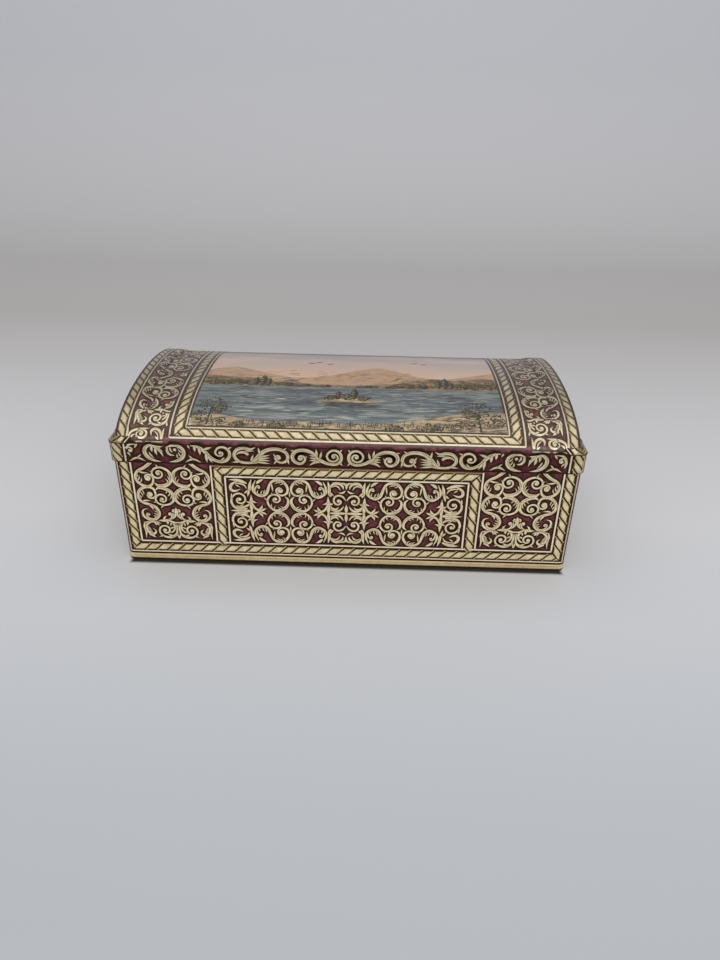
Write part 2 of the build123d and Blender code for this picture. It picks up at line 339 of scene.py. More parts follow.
# --- ornament ---------------------------------------------------------------
def lobe_pair():
    """Tail, outer scroll and inner scroll of the second row."""
    p = Print()
    vine(p, [(-14.3, 30.6), (-16.1, 30), (-16.9, 28.2), (-16.1, 25.7), (-13.6, 24.2), (-11, 24.6),
        (-9, 26.7), (-8.7, 28.9), (-10, 31.6), (-13, 33.2), (-15.7, 34.1), (-17.5, 36), (-17.8, 38.6),
        (-16.8, 41), (-14.6, 42.7), (-12, 43.1), (-10, 42.2), (-9.2, 40.3)], [0.3, 0.8, 1.1, 1.2, 1.4, 1.6,
        1.8, 1.8, 1.6, 1.5, 1.4, 1.4, 1.4, 1.5, 1.6, 1.5, 1.3, 1], eye=(-12, 38.9), turn=-215, ball=1.45)
    vine(p, [(-8.8, 41.5), (-7.3, 42.7), (-4.4, 42.4), (-1.6, 40.6), (-0.3, 37.9), (-0.9, 35.3),
        (-2.8, 33.6), (-5.7, 33), (-8.3, 33.9), (-9.4, 36)], [0.3, 1.4, 1.9, 1.9, 1.6, 1.3, 1.1, 1, 1, 1],
        eye=(-6.3, 36.3), turn=-390, ball=0.95)
    leaf(p, (-16.2, 34.8), (-11.9, 35.1), 0.9, 0.1)
    leaf(p, (-8.7, 34.7), (-10.8, 34.5), 0.6)
    leaf(p, (-5.4, 32.9), (-7.4, 31), 0.7, -0.1)
    leaves(p, 0.6, 0.12, ((-2, 40.2), (-3.4, 38)), ((-1.3, 39), (-2.3, 36.6)), ((-3.2, 41.2), (-4.4, 39.6)),
        ((-16.6, 40.2), (-15.6, 37.4)), ((-15.6, 41.3), (-14.9, 38.6)), ((-17.3, 38.4), (-16.3, 36.2)),
        ((-9.2, 27.4), (-11.2, 28.2)), ((-9.1, 28.9), (-11, 29.5)), ((-9.9, 26.2), (-11.6, 26.9)))
    leaf(p, (-13.2, 32.9), (-11.3, 29.9), 1.2, 0.15)
    return p


def tail_curl():
    """Small curl and spur inside the tail."""
    p = Print()
    leaf(p, (-15.4, 25.2), (-17.7, 26.4), 0.8)
    vine(p, [(-12, 24.5), (-14, 25.1), (-14.9, 26.6)], [0.9, 0.9, 0.7], eye=(-13.9, 27.3), turn=-150,
        ball=0.7)
    return p


def lobe_pair_high():
    """Outer and inner scroll of the first row."""
    p = Print()
    vine(p, [(-8.8, 59), (-9.5, 56.8), (-12.6, 54), (-15.9, 52.1), (-17.5, 50), (-17.7, 47.6),
        (-16.8, 45.6), (-14.8, 44), (-12.3, 43.4), (-10.2, 44.6), (-9.3, 46.8)], [1.2, 1.7, 1.6, 1.4, 1.4,
        1.4, 1.5, 1.5, 1.5, 1.2, 1], eye=(-11.9, 48), turn=225, ball=1.45)
    vine(p, [(-8.9, 45.6), (-7.5, 44.2), (-5.5, 43.9), (-2.8, 44.6), (-0.8, 46.8), (-0.3, 49.4), (-1.4, 52),
        (-3.5, 53.6), (-5.9, 54.1), (-8.3, 53.2), (-9.5, 51.2)], [0.3, 1.5, 1.9, 2, 1.8, 1.6, 1.4, 1.2, 1.1,
        1, 1], eye=(-6.6, 50.7), turn=390, ball=0.95)
    leaf(p, (-16, 51.8), (-11.4, 51.1), 0.9, -0.1)
    leaf(p, (-8.9, 51.5), (-10.5, 52), 0.6)
    leaf(p, (-5.9, 54), (-7.3, 55.8), 0.6)
    leaves(p, 0.6, -0.12, ((-2.2, 45.4), (-3.4, 48)), ((-1.4, 46.6), (-2.4, 49.4)),
        ((-1, 48.4), (-1.9, 51)), ((-16.8, 46.6), (-15.9, 49.6)), ((-15.8, 45.5), (-14.9, 48.2)),
        ((-17.4, 48.4), (-16.6, 50.6)))
    return p


def palmette_half():
    """Left half of the palmette between the third and the fourth row."""
    p = Print()
    vine(p, [(-4.6, 24.3), (-2.7, 25.2), (-1.1, 26.4), (-0.3, 28.4), (-0.5, 30)], [0.9, 1.1, 1.2, 1.2, 0.9],
        eye=(-1.3, 29.7), turn=150, ball=0.85)
    leaf(p, (-0.5, 27.8), (-0.1, 31.6), 1.3)
    vine(p, [(-3.6, 24.7), (-2.6, 25.8), (-2.4, 27)], [0.6, 0.9, 0.8], eye=(-3.2, 27.8), turn=60, ball=0.95)
    leaf(p, (-1.5, 26.3), (-2.1, 28.7), 0.7, -0.1)
    leaf(p, (-3.8, 24.1), (-9.5, 23.8), 1.7)
    leaf(p, (-6.6, 24), (-5.2, 26.7), 1, 0.15)
    leaf(p, (-5, 24), (-5, 21.5), 1.4)
    vine(p, [(-4.6, 24.2), (-3, 23.4), (-1.4, 22.8), (0, 22.9)], [0.7, 1.1, 1, 0.7])
    return p


def foot_half():
    """Left half of the fourth row: spiral, lance and corner crescent."""
    p = Print()
    vine(p, [(-3.4, 23.6), (-2.1, 22.2), (-1.6, 20.4), (-2, 18.6), (-3.2, 17.2), (-4.6, 16.8)],
        [0.6, 1.2, 1.2, 1, 0.8, 0.2])
    leaves(p, 0.8, -0.15, ((-1.8, 20), (-4.4, 18.4)), ((-2.8, 22.8), (-3.6, 20.6)))
    vine(p, [(-0.5, 21.8), (-0.6, 19), (-0.9, 16.6), (-0.5, 14.9), (0, 13.5)], [0.5, 1, 1.1, 0.9, 0.5])
    leaf(p, (-0.4, 15), (0, 13.2), 0.9)
    vine(p, [(-0.9, 16.6), (-2.2, 15), (-4.6, 14), (-7, 14.3), (-9, 15.8), (-9.6, 18), (-8.6, 20.1),
        (-6.6, 20.8), (-4.8, 19.9)], [0.9, 1.6, 1.5, 1.1, 1, 1, 1, 1, 1], eye=(-6.9, 18.1), turn=-190,
        ball=1)
    leaf(p, (-8, 15), (-10, 14.1), 0.8)
    leaf(p, (-3, 14.6), (-5.6, 15.9), 1)
    leaf(p, (-11, 23.6), (-17.3, 22.7), 1.3, 0.06)
    vine(p, [(-16.4, 22.8), (-17, 20.4), (-16.5, 17.4), (-16.8, 13.4)], [0.5, 1.1, 1.2, 0.2])
    vine(p, [(-13, 23), (-15.2, 21.6), (-16, 19.4), (-15.3, 17.2), (-13.6, 15.8), (-11.9, 16.3),
        (-11.5, 17.8), (-12.7, 19)], [0.6, 1.2, 1.2, 1.3, 1.6, 1.2, 0.8, 0.2])
    leaf(p, (-15.2, 15.5), (-12, 13.6), 1.3, 0.1)
    leaves(p, 0.55, 0, ((-15.6, 20.4), (-13.8, 18.6)), ((-15.3, 19), (-13.3, 17.7)),
        ((-15, 17.8), (-13.1, 16.9)))
    for tip, width in (((-8.3, 22), 1.2), ((-9.2, 20.9), 1.4), ((-10.6, 20.9), 1.1)):
        leaf(p, (-11.8, 23.6), tip, width)
    return p


def joined(*drawings):
    """One print of several drawings."""
    p = Print()
    for drawing in drawings:
        p.add(drawing())
    return p


def side_half():
    return joined(lobe_pair_high, lobe_pair, tail_curl, palmette_half, foot_half)


def side_panel():
    p = Print()
    p.mirrored(side_half())
    return p


def lobe_group_quarter():
    """Upper left quarter of a group in the centre panel, about the group's own centre."""
    p = Print()
    vine(p, [(-16.4, 17.5), (-17.6, 14.5), (-17.8, 12.1), (-16.4, 10), (-13.8, 8.9), (-11.6, 10),
        (-10.5, 12.2), (-9.7, 14.8), (-8.6, 16.7), (-6.5, 17.8), (-3.6, 17.4), (-1.6, 15.4), (-0.8, 12.9),
        (-1.4, 10.6), (-3.4, 9.4), (-5.4, 9.8), (-6.4, 11.4)], [0.3, 1.1, 1.3, 1.4, 1.7, 1.7, 1.5, 1.2, 1.3,
        1.5, 1.5, 1.4, 1.2, 1.1, 1, 0.9, 0.8], eye=(-4.5, 12.2), turn=-170, ball=1.4)
    leaf(p, (-8.6, 15.8), (-8, 11.2), 0.8)
    leaf(p, (-15.9, 15.6), (-12.3, 18), 1.5, 0.1)
    vine(p, [(-17, 10.9), (-16.6, 13.2), (-15.6, 14.4)], [0.7, 0.9, 0.8], eye=(-14.9, 13.6), turn=-100,
        ball=0.75)
    vine(p, [(-2.3, 8.8), (-0.9, 7.2), (-0.9, 4.8), (-2.2, 2.4), (-4.6, 0.9), (-7.2, 0.7), (-9.4, 2.2),
        (-10.8, 4.8), (-10.7, 7.2), (-9.4, 9.1), (-7.3, 9.8), (-5.3, 8.9), (-4.8, 7)], [0.3, 1.2, 1.4, 1.8,
        1.8, 1.3, 1.1, 1, 1, 1, 1, 0.9, 0.9], eye=(-7.1, 7.2), turn=-215, ball=0.95)
    leaf(p, (-10.9, 6.2), (-12.7, 8), 0.6)
    leaf(p, (-8.3, 9.3), (-8.8, 10.9), 0.6)
    leaves(p, 0.55, 0.12, ((-15.7, 10), (-15.2, 12)), ((-14, 9.6), (-13, 11.9)),
        ((-12.4, 10.2), (-11.8, 12.4)), ((-2.6, 16.8), (-4.6, 15.4)), ((-3.8, 17.4), (-6, 16.2)),
        ((-5.2, 17.6), (-7.2, 15.8)), ((-2.6, 2.4), (-4.6, 3.4)), ((-3.8, 1.6), (-5.8, 2.8)),
        ((-9, 2.4), (-8.8, 4.6)), ((-7.6, 1.2), (-7.2, 3.2)))
    leaf(p, (0, 11.4), (0, 8.2), 0.7)
    leaf(p, (-19, 0), (-18.8, 9.6), 2.1)
    leaf(p, (-18.6, 6.4), (-16.1, 4.9), 0.9, -0.15)
    leaf(p, (-19.1, 5), (-21.4, 5.8), 0.9, 0.15)
    vine(p, [(-18.6, 4.4), (-17.4, 2), (-15.8, 0.7), (-13.6, 0)], [0.9, 1.2, 1.2, 1])
    leaf(p, (-15.5, 0.9), (-13.6, 3.6), 1.2, -0.15)
    leaf(p, (-14.2, 0.4), (-11.6, 1.8), 1.1)
    return p


def edge_group_half():
    """Upper half of the ornament at the left edge of the centre panel; v from the panel's middle."""
    p = Print()
    leaf(p, (-48.4, 15.6), (-57, 17.4), 1.8, -0.08)
    vine(p, [(-46.1, 17.8), (-46.9, 15), (-47.3, 12.2), (-48.8, 10.2)], [0.3, 1.4, 1.6, 0.9])
    for tip, width in (((-50, 10), 1.2), ((-48.3, 8.3), 1.3)):
        leaf(p, (-47.4, 12), tip, width)
    vine(p, [(-53.2, 16.6), (-55.8, 14.8), (-56.4, 12.6), (-55.2, 11.3), (-53.4, 11.5), (-51.8, 12.3)],
        [0.8, 1.5, 1.5, 1.4, 1, 0.3])
    vine(p, [(-54.4, 15.6), (-51.6, 15.4), (-49.6, 14.6), (-48.6, 12.8)], [0.3, 0.8, 0.9, 0.3])
    leaf(p, (-53.8, 14.8), (-51.8, 13.4), 0.7)
    vine(p, [(-48.8, 1.3), (-51.6, 1.2), (-54.6, 1.8), (-56.3, 4.1), (-56.2, 7), (-54.4, 9.3), (-51.9, 9.8),
        (-49.9, 8.3), (-49.6, 6.1)], [0.6, 1.5, 1.4, 1.2, 1.1, 1, 1, 1, 0.9], eye=(-52.4, 6.6), turn=-235,
        ball=0.9)
    leaf(p, (-56.3, 6.6), (-56.1, 10), 0.9)
    vine(p, [(-54.2, 2.9), (-51.4, 2.1), (-48.8, 3), (-47.5, 4.6)], [0.3, 1.1, 1.2, 0.4])
    leaf(p, (-52.6, 2.4), (-50.4, 3.8), 0.6)
    return p


def middle_group_quarter():
    """Upper left quarter of the ornament in the middle of the centre panel."""
    p = Print()
    vine(p, [(-9, 17.7), (-8.5, 15.4), (-8.3, 13), (-8.4, 11.2), (-7.5, 9.6)], [0.3, 1.4, 1.5, 1.5, 1.2])
    leaf(p, (-8.2, 12), (-6.1, 9.8), 1)
    vine(p, [(-7.9, 15), (-6, 16.8), (-3.4, 16.8), (-1.8, 15.2), (-1.6, 13.8)], [0.6, 1.5, 1.5, 1.1, 0.3])
    vine(p, [(-7.4, 14.6), (-5.4, 15.6), (-3.8, 14.8), (-3, 13.2)], [0.3, 0.8, 0.8, 0.2])
    leaf(p, (-0.6, 12.9), (-4, 11.9), 1, 0.2)
    vine(p, [(-0.2, 7.4), (-1.8, 9.5), (-4, 10.2), (-5.7, 9.1), (-6.2, 7.1), (-5.3, 5.4)],
        [0.4, 1.1, 1, 1, 1, 1], eye=(-3.8, 7.1), turn=170, ball=0.9)
    leaf(p, (-8.8, 5.6), (-7, 5.6), 0.9)
    vine(p, [(-8.5, 4.8), (-7, 2.8), (-5, 2.3), (-3.8, 3.6)], [0.6, 1.2, 1.1, 0.3])
    vine(p, [(-7.8, 2), (-5, 1.2), (-2.8, 2), (-1.4, 4)], [0.4, 1, 1.1, 0.4])
    leaf(p, (0, 0.4), (0, 5.2), 1.7)
    leaf(p, (0, 17.2), (0, 13.6), 1.4)
    vine(p, [(-2.8, 17.2), (-1.2, 16.9), (0, 15.8)], [0.3, 1, 1.1])
    return p


def centre_panel():
    """Ornament of the centre panel, v from its middle."""
    group = Print()
    group.mirrored(lobe_group_quarter(), True, True)
    spear = Print()
    leaf(spear, (-46.4, 0), (-57.3, 0), 1.8)
    leaf(spear, (0, 0), (-9.4, 0), 1.6)
    half = Print()
    half.add(group, move=(-27.75, 0))
    half.mirrored(edge_group_half(), False, True)
    half.mirrored(middle_group_quarter(), False, True)
    half.add(spear)
    p = Print()
    p.mirrored(half)
    return p


FRIEZE_AXIS = -0.8                              # the scroll is printed a little off the middle
FRIEZE_MIDDLE, FRIEZE_SQUAT = 62.3, 0.93
FRIEZE_OUTLINE = 1.4


def corner_leaf(p):
    """Leaf in the corner of the running scroll."""
    vine(p, [(-104.3, 59.8), (-104.6, 62.8), (-103.6, 65.6), (-101.6, 67), (-99.4, 66.9)],
        [0.5, 1.4, 1.4, 1.1, 0.5])
    leaf(p, (-98.8, 67.1), (-100.2, 64.8), 1)
    vine(p, [(-103.2, 65.4), (-101.9, 64.9)], [0.8, 0.7], eye=(-102.2, 63.4), turn=-80, ball=1)
    leaf(p, (-104.3, 62.6), (-102.6, 60.2), 0.9, 0.1)


def open_scroll_right(p):
    """Open scroll whose leaf hangs on its right."""
    vine(p, [(-88.3, 57.4), (-91.6, 58.1), (-94.2, 59.8), (-95.5, 62.3), (-95.2, 64.7), (-93.6, 66.3),
        (-91.6, 66.7)], [0.2, 1.4, 2, 2, 1.8, 1.6, 1.2])
    vine(p, [(-92.4, 66.5), (-89.9, 65.6), (-88.1, 63.5), (-87, 60.4)], [1, 1.8, 1.6, 0.2])
    for root, tip, width in (((-90.2, 66.3), (-86.8, 66), 1), ((-91.8, 66.2), (-91.9, 62.9), 1.3),
            ((-90.2, 65.2), (-89.7, 61), 1.4), ((-88.2, 64.4), (-86.8, 63.4), 0.6),
            ((-93.4, 62.8), (-91.2, 59.2), 0.8)):
        leaf(p, root, tip, width, -0.08)


def open_scroll_left(p):
    """Open scroll with a crescent and a ball inside, open to the left."""
    vine(p, [(-84.2, 57.4), (-80.9, 58), (-78.2, 59.7), (-77, 62.3), (-77.4, 64.8), (-79.3, 66.5),
        (-82.2, 66.8), (-85.4, 65.5)], [0.2, 1.5, 2, 1.9, 1.7, 1.5, 1.4, 0.3])
    vine(p, [(-84.6, 65.6), (-84.8, 63.4), (-83.6, 61.6), (-81.6, 61.2)], [0.8, 1.4, 1.3, 0.3])
    vine(p, [(-83.2, 65.6), (-83.2, 64.2), (-82.3, 63)], [0.5, 1, 0.3])
    disc(p, (-81.1, 64.4), 0.75)
    leaves(p, 0.75, 0.1, ((-79.9, 59.6), (-80.2, 62.2)), ((-78.4, 60.6), (-79.5, 63.2)),
        ((-77.9, 62.9), (-79.4, 64.8)), ((-78.9, 65.6), (-80, 65.9)))


def frieze_outer():
    """Outer part of the running scroll's left half: the corner leaf, two open scrolls and a branch."""
    p = Print(outline=FRIEZE_OUTLINE)
    corner_leaf(p)
    for middle, lean in ((-99.4, 1), (-72.9, -1)):
        vine(p, [(middle - 3.6, 57.5), (middle - 1.8, 58.7), (middle, 59.3), (middle + 1.8, 58.7),
            (middle + 3.6, 57.5)], [0.2, 1, 1.2, 1, 0.2])
        leaf(p, (middle - 0.1 * lean, 59.2), (middle + 2 * lean, 61.4), 0.8)
    open_scroll_right(p)
    open_scroll_left(p)
    vine(p, [(-73.6, 67), (-71.4, 66.7), (-69, 65.6), (-66.8, 63.6), (-64.9, 60.9), (-62.4, 59),
        (-59.6, 58.3), (-57.1, 59.1), (-55.5, 61.4), (-55.4, 64), (-56.8, 66), (-58.9, 66.6), (-60.9, 65.8),
        (-62, 63.8)], [0.4, 1.3, 1.9, 2, 1.8, 1.7, 1.7, 1.7, 1.6, 1.4, 1.3, 1.2, 1.1, 1], eye=(-59.7, 63.3),
        turn=250, ball=0.85)
    for root, tip, width in (((-71.8, 66.6), (-71.6, 63.6), 1.3), ((-69.6, 65.8), (-69.3, 61.8), 1.5),
            ((-74.9, 67.2), (-74, 65.2), 0.9), ((-67.8, 64.8), (-63.6, 66.4), 1.4),
            ((-66.5, 62.8), (-66.3, 57.5), 1.5), ((-65.6, 61.4), (-63.8, 57.6), 1.3),
            ((-59.6, 59), (-57.8, 60.8), 0.8), ((-56.4, 65.4), (-54, 66.9), 0.8)):
        leaf(p, root, tip, width)
    return p


def frieze_inner():
    """Inner part of the running scroll's left half."""
    p = Print(outline=FRIEZE_OUTLINE)
    vine(p, [(-42.2, 58.3), (-45.4, 58.1), (-48.6, 58.1), (-51.3, 59), (-53, 61.2), (-52.9, 63.8),
        (-50.8, 65.9), (-47.7, 66.3), (-45.2, 65.8), (-43, 67)], [0.8, 1.3, 1.4, 1.5, 1.6, 1.5, 1.7, 1.6,
        1.3, 0.2])
    vine(p, [(-52.2, 62.6), (-50.6, 63.8), (-48.4, 64), (-46.9, 63.1), (-47, 62.4)],
        [0.4, 1, 1.6, 1.6, 0.9])
    leaf(p, (-50.2, 58.6), (-54.5, 58.2), 0.9)
    leaf(p, (-45.4, 59), (-44.1, 62.9), 1.1)
    leaf(p, (-47.8, 65), (-43.7, 64.8), 0.9)
    vine(p, [(-44.9, 58.4), (-42.7, 60.6), (-40.8, 63), (-38.4, 65.1), (-35.2, 66.2), (-31.8, 66.1),
        (-29, 64.7), (-27.8, 62.2), (-28.5, 59.8), (-30.4, 58.7), (-32.6, 59.2), (-33.8, 60.9)], [1, 2, 2.2,
        2.1, 2, 1.9, 1.7, 1.6, 1.4, 1.2, 1.1, 1], eye=(-32.2, 61.4), turn=-170, ball=1.1)
    for root, tip, width in (((-41, 63), (-41.6, 67), 1.1), ((-30.2, 65.6), (-28.3, 67), 0.8),
            ((-28.1, 61), (-27.3, 57.8), 1), ((-42, 61.4), (-36.2, 62.8), 1),
            ((-42.2, 60.6), (-36.3, 61.2), 1), ((-42.4, 59.8), (-36.3, 59.6), 1),
            ((-43.2, 58.8), (-36.3, 57.9), 1.1), ((-33.4, 61.6), (-34.6, 63.5), 0.9),
            ((-33.4, 59.4), (-34.6, 57.8), 0.8), ((-24.4, 65.5), (-26.6, 65.9), 0.9),
            ((-20.2, 60.4), (-18.8, 62.8), 0.9), ((-14.2, 62.6), (-17.6, 63.3), 0.9),
            ((-13.6, 61.6), (-17.7, 61.8), 0.9), ((-13.2, 60.8), (-17.7, 60.3), 1),
            ((-14, 62.6), (-14.5, 67), 1.1), ((-12.6, 61.8), (-11.8, 65.7), 1.1),
            ((-3.4, 65.4), (-2.2, 67), 0.8), ((-3.4, 59.6), (-2, 57.9), 0.9)):
        leaf(p, root, tip, width)
    vine(p, [(-13.2, 61.4), (-15.8, 64.3), (-18.6, 65.8), (-21.6, 66.1), (-24.3, 65.1), (-25.6, 62.8),
        (-25.2, 60.2), (-23.3, 58.6), (-21.2, 58.6), (-19.8, 60.3)], [0.8, 1.6, 1.9, 1.9, 1.9, 1.8, 1.7,
        1.6, 1.4, 1.1], eye=(-21.9, 61.3), turn=190, ball=1.2)
    vine(p, [(-12.2, 60), (-15, 59.4), (-17.4, 57.8)], [1.4, 1.5, 0.4])
    vine(p, [(-14.6, 62.4), (-12.6, 60.7), (-10.2, 59.3), (-7.8, 58.5), (-5.2, 58.5), (-3.2, 59.9),
        (-2.5, 62.3), (-3.1, 64.7), (-4.9, 66.2), (-7.2, 66.1), (-8.9, 64.5)], [0.8, 1.9, 1.8, 1.5, 1.5,
        1.5, 1.5, 1.4, 1.3, 1.2, 1.1], eye=(-6.2, 62.7), turn=400, ball=0.9)
    return p


def spring_row():
    """Small row at the foot of the vault's left side panel; u is x, v the way over the vault."""
    p = Print()
    leaf(p, (-103.4, 1.4), (-103, 7.6), 1.2)
    vine(p, [(-102.6, 1.6), (-101.8, 4.4), (-99, 6.2), (-96.2, 6.8), (-93.4, 7)], [0.6, 1.1, 1.3, 1, 0.2])
    vine(p, [(-101.8, 1.6), (-100.9, 3.2), (-99.5, 3.8)], [0.3, 0.8, 0.2])
    vine(p, [(-96.6, 6.4), (-94.7, 5.4), (-94.5, 3.6), (-96, 2.3), (-98, 2.4), (-98.9, 3.8)],
        [0.5, 1.1, 1.1, 1.1, 1, 0.9], eye=(-96.9, 4.1), turn=-200, ball=0.85)
    vine(p, [(-92, 3.4), (-92.2, 5.4), (-90.6, 6.8), (-88.4, 5.8), (-87.4, 3.4), (-87.8, 1.4)],
        [0.3, 1.2, 1.5, 1.3, 1.1, 0.3])
    leaf(p, (-87.2, 1.4), (-86.3, 7.4), 1.2)
    vine(p, [(-90.8, 5.6), (-89.4, 4.4), (-88.6, 2.4)], [0.3, 0.8, 0.2])
    leaf(p, (-88.6, 1.6), (-90.2, 3), 0.8)
    line(p, (-104.2, 0.5), (-96.4, 0.5), 0.6, "pale")
    line(p, (-94.8, 0.5), (-86.6, 0.5), 0.6, "pale")
    return p


def crossing_half():
    """Curl and leaves where the two halves of the vault's side panel meet."""
    p = Print()
    vine(p, [(-12.6, 62.3), (-14.6, 62.2), (-16, 60.8), (-16.2, 58.9), (-15, 57.5)],
        [0.3, 0.9, 1.1, 1.1, 1], eye=(-14.2, 59), turn=200, ball=0.9)
    for root, tip, width in (((-0.4, 56.8), (-4.4, 59.2), 1.4), ((-0.6, 58.4), (-3.2, 61.2), 1.3),
            ((0, 56.4), (-0.4, 61.8), 1.2), ((-1.6, 57.2), (-3.2, 56.2), 0.9),
            ((-8.9, 58.6), (-11.2, 59.4), 0.8), ((-9.2, 60.4), (-11.6, 60.6), 0.8)):
        leaf(p, root, tip, width, 0.1)
    return p


def vault_side():
    """Left side panel of the vault: that of the wall, its mirror image and one more foot."""
    axis, meet, drop, narrow = -85.2, 59, 5, 0.93
    half = side_half()
    foot = joined(foot_half, palmette_half)
    p = Print()
    p.add(spring_row())
    p.add(half, move=(axis, -drop), scale=(narrow, 1))
    p.add(crossing_half(), move=(axis, -drop), scale=(narrow, 1))
    p.add(half, move=(axis, 2 * meet - drop), scale=(narrow, -1))
    p.add(foot, move=(axis, 87.6), scale=(narrow, 0.95))
    p.add(spring_row(), move=(0, VAULT_LENGTH), scale=(1, -1))
    return p


# --- whole prints ------------------------------------------------------------
OUTER_LINE, EDGE_ROPE, INNER_LINE = 1.75, 5.2, 8.35     # border of a wall's face, in from its edge
FOOT_LINE, FOOT_ROPE, PANEL_FOOT = 5.2, 8.1, 11.6       # border along the foot, heights
# the vein row is painted shade on the foot's bend under the box; the dim row shows only as a thin streak
# between the foot rows, a painted reflection
FOOT_BANDS = (                                  # round the foot of the wall: height, width, ink
    (0.5, 1.0, "vein"), (2.4, 2.7, "dim"), (3.2, 1.1, "foot"), (1.75, 1.4, "foot"),
    (FOOT_LINE, 0.66, "pale"),
)
WALL_TOP = 58.0                                 # the prints of the wall run up to here, under the skirt
HEM_Z = 56.45                                   # the wall is printed dark above this height; the strip that shows under the skirt is painted shade
HEM_TOP, HEM_TOP_BACK = 66.2, 57.1              # the open lid's skirt turns against the back of the wall
SIDE_PANEL_U, CENTRE_PANEL_V = 84.4, 30.95      # middles of the front's panels
END_PANEL_U, END_COLUMN = 29.9, 10.6            # on the ends: middles of the panels, edges of the column
FRAME_OUT, FRAME_ROPE, FRAME_IN = 65.2, 62.1, 58.7      # frame of the centre panel
FRAME_TOP_OUT, FRAME_TOP_ROPE, FRAME_TOP_IN = 55.6, 53.1, 50.0
STRAP_X, STRAP_REACH, STRAP_TOP = 60.0, 7.8, 61.0       # cut-aways of the back skirt, for the hinge straps
SKIRT_PRINT_LOW, SKIRT_PRINT_TOP = 57.5, 67.0
SKIRT_ROPE, SKIRT_LINE = 4.0, 7.9               # in from the edge of the skirt
VAULT_OUT, VAULT_ROPE, VAULT_IN = 83.4, 79.6, 76.1      # frame of the picture
VAULT_FOOT = 2.7, 5.35, 8.0                     # its line, rope and line along the fold
VAULT_EDGE = 103.3
BAND_ROPE, BAND_MARGIN, BAND_FOOT = 106.1, 108.2, 3.0


def across(p, reach, v, width, ink="gold"):
    """Line from side to side."""
    line(p, (-reach, v), (reach, v), width, ink)


def upright(p, u, low, high, width, ink="gold"):
    line(p, (u, low), (u, high), width, ink)


def face_size(ends, half_x, half_y, radius):
    """Half width of a face, and the way along it to the middle of its rounded corner."""
    half = half_y if ends else half_x
    return half, half - radius + radius * math.pi / 4


def body_print(side):
    """Print of one face of the wall; side as in facing."""
    ends = side % 2 == 1
    half, edge = face_size(ends, WALL_X, WALL_Y, WALL_R)
    rope_u, inner = half - EDGE_ROPE, half - INNER_LINE
    p = Print()
    for z, width, ink in FOOT_BANDS:
        across(p, edge, z, width, ink)
    for s in (-1, 1):
        upright(p, s * (half - OUTER_LINE), FOOT_LINE, WALL_TOP, 0.9, "pale")
        upright(p, s * inner, PANEL_FOOT, WALL_TOP, 0.8, "pale")
        upright(p, s * (edge - 0.15), 4.5, WALL_TOP, 0.5, "vein")
        rope(p, (s * rope_u, WALL_TOP), (s * rope_u, FOOT_ROPE), lean=UPRIGHT, mitre=(0, s))
    rope(p, (-rope_u, FOOT_ROPE), (rope_u, FOOT_ROPE), lean=LEVEL, mitre=(1, -1))
    across(p, inner, PANEL_FOOT, 0.8, "pale")
    if ends:
        for s in (-1, 1):
            upright(p, s * END_COLUMN, PANEL_FOOT, WALL_TOP, 0.8, "pale")
            p.add(side_panel(), move=(s * END_PANEL_U, 0))
        column = Print()
        column.add(side_half(), move=(9.0, 0), scale=(0.98, 1))
        p.add(column)
    else:
        for s in (-1, 1):
            p.add(side_panel(), move=(s * SIDE_PANEL_U, 0))
        p.add(centre_frame())
        p.add(centre_panel(), move=(0, CENTRE_PANEL_V))
    u = np.linspace(-edge, edge, int(edge * 2.5))
    # dark print above the hem; where it shows under the skirt it is painted shade
    p.field("margin", u, HEM_TOP_BACK if side == 2 else HEM_TOP, HEM_Z)
    return p


def centre_frame():
    """Rope between two lines round the centre panel; below it shares the border of the wall."""
    p = Print()
    for s in (-1, 1):
        upright(p, s * FRAME_OUT, PANEL_FOOT, FRAME_TOP_OUT + 0.2, 0.8, "pale")
        u = s * FRAME_ROPE
        rope(p, (u, FRAME_TOP_ROPE), (u, PANEL_FOOT - 1), lean=UPRIGHT, mitre=(-s, 0))
        upright(p, s * FRAME_IN, PANEL_FOOT, FRAME_TOP_IN, 0.8, "pale")
    # the top outer line is printed in dim gold: painted shade under the skirt's edge
    across(p, FRAME_OUT, FRAME_TOP_OUT, 0.5, "dim")
    rope(p, (-FRAME_ROPE, FRAME_TOP_ROPE), (FRAME_ROPE, FRAME_TOP_ROPE), lean=LEVEL, mitre=(-1, 1))
    across(p, FRAME_IN, FRAME_TOP_IN, 0.8, "pale")
    return p


def over_strap(u):
    return np.abs(np.abs(u) - STRAP_X) < STRAP_REACH


def clear_of_straps(whole):
    """The same print without the parts over the cut-aways."""
    p = Print()
    for ink, strips in whole.strips.items():
        for left, right, order in strips:
            low = np.minimum(left[:, 1], right[:, 1])
            inside = (over_strap(left[:, 0]) | over_strap(right[:, 0])) & (low < STRAP_TOP - 0.01)
            for a, b in runs(~inside) if inside.any() else [(0, len(left))]:
                p.strips[ink].append((left[a:b], right[a:b], order))
    return p


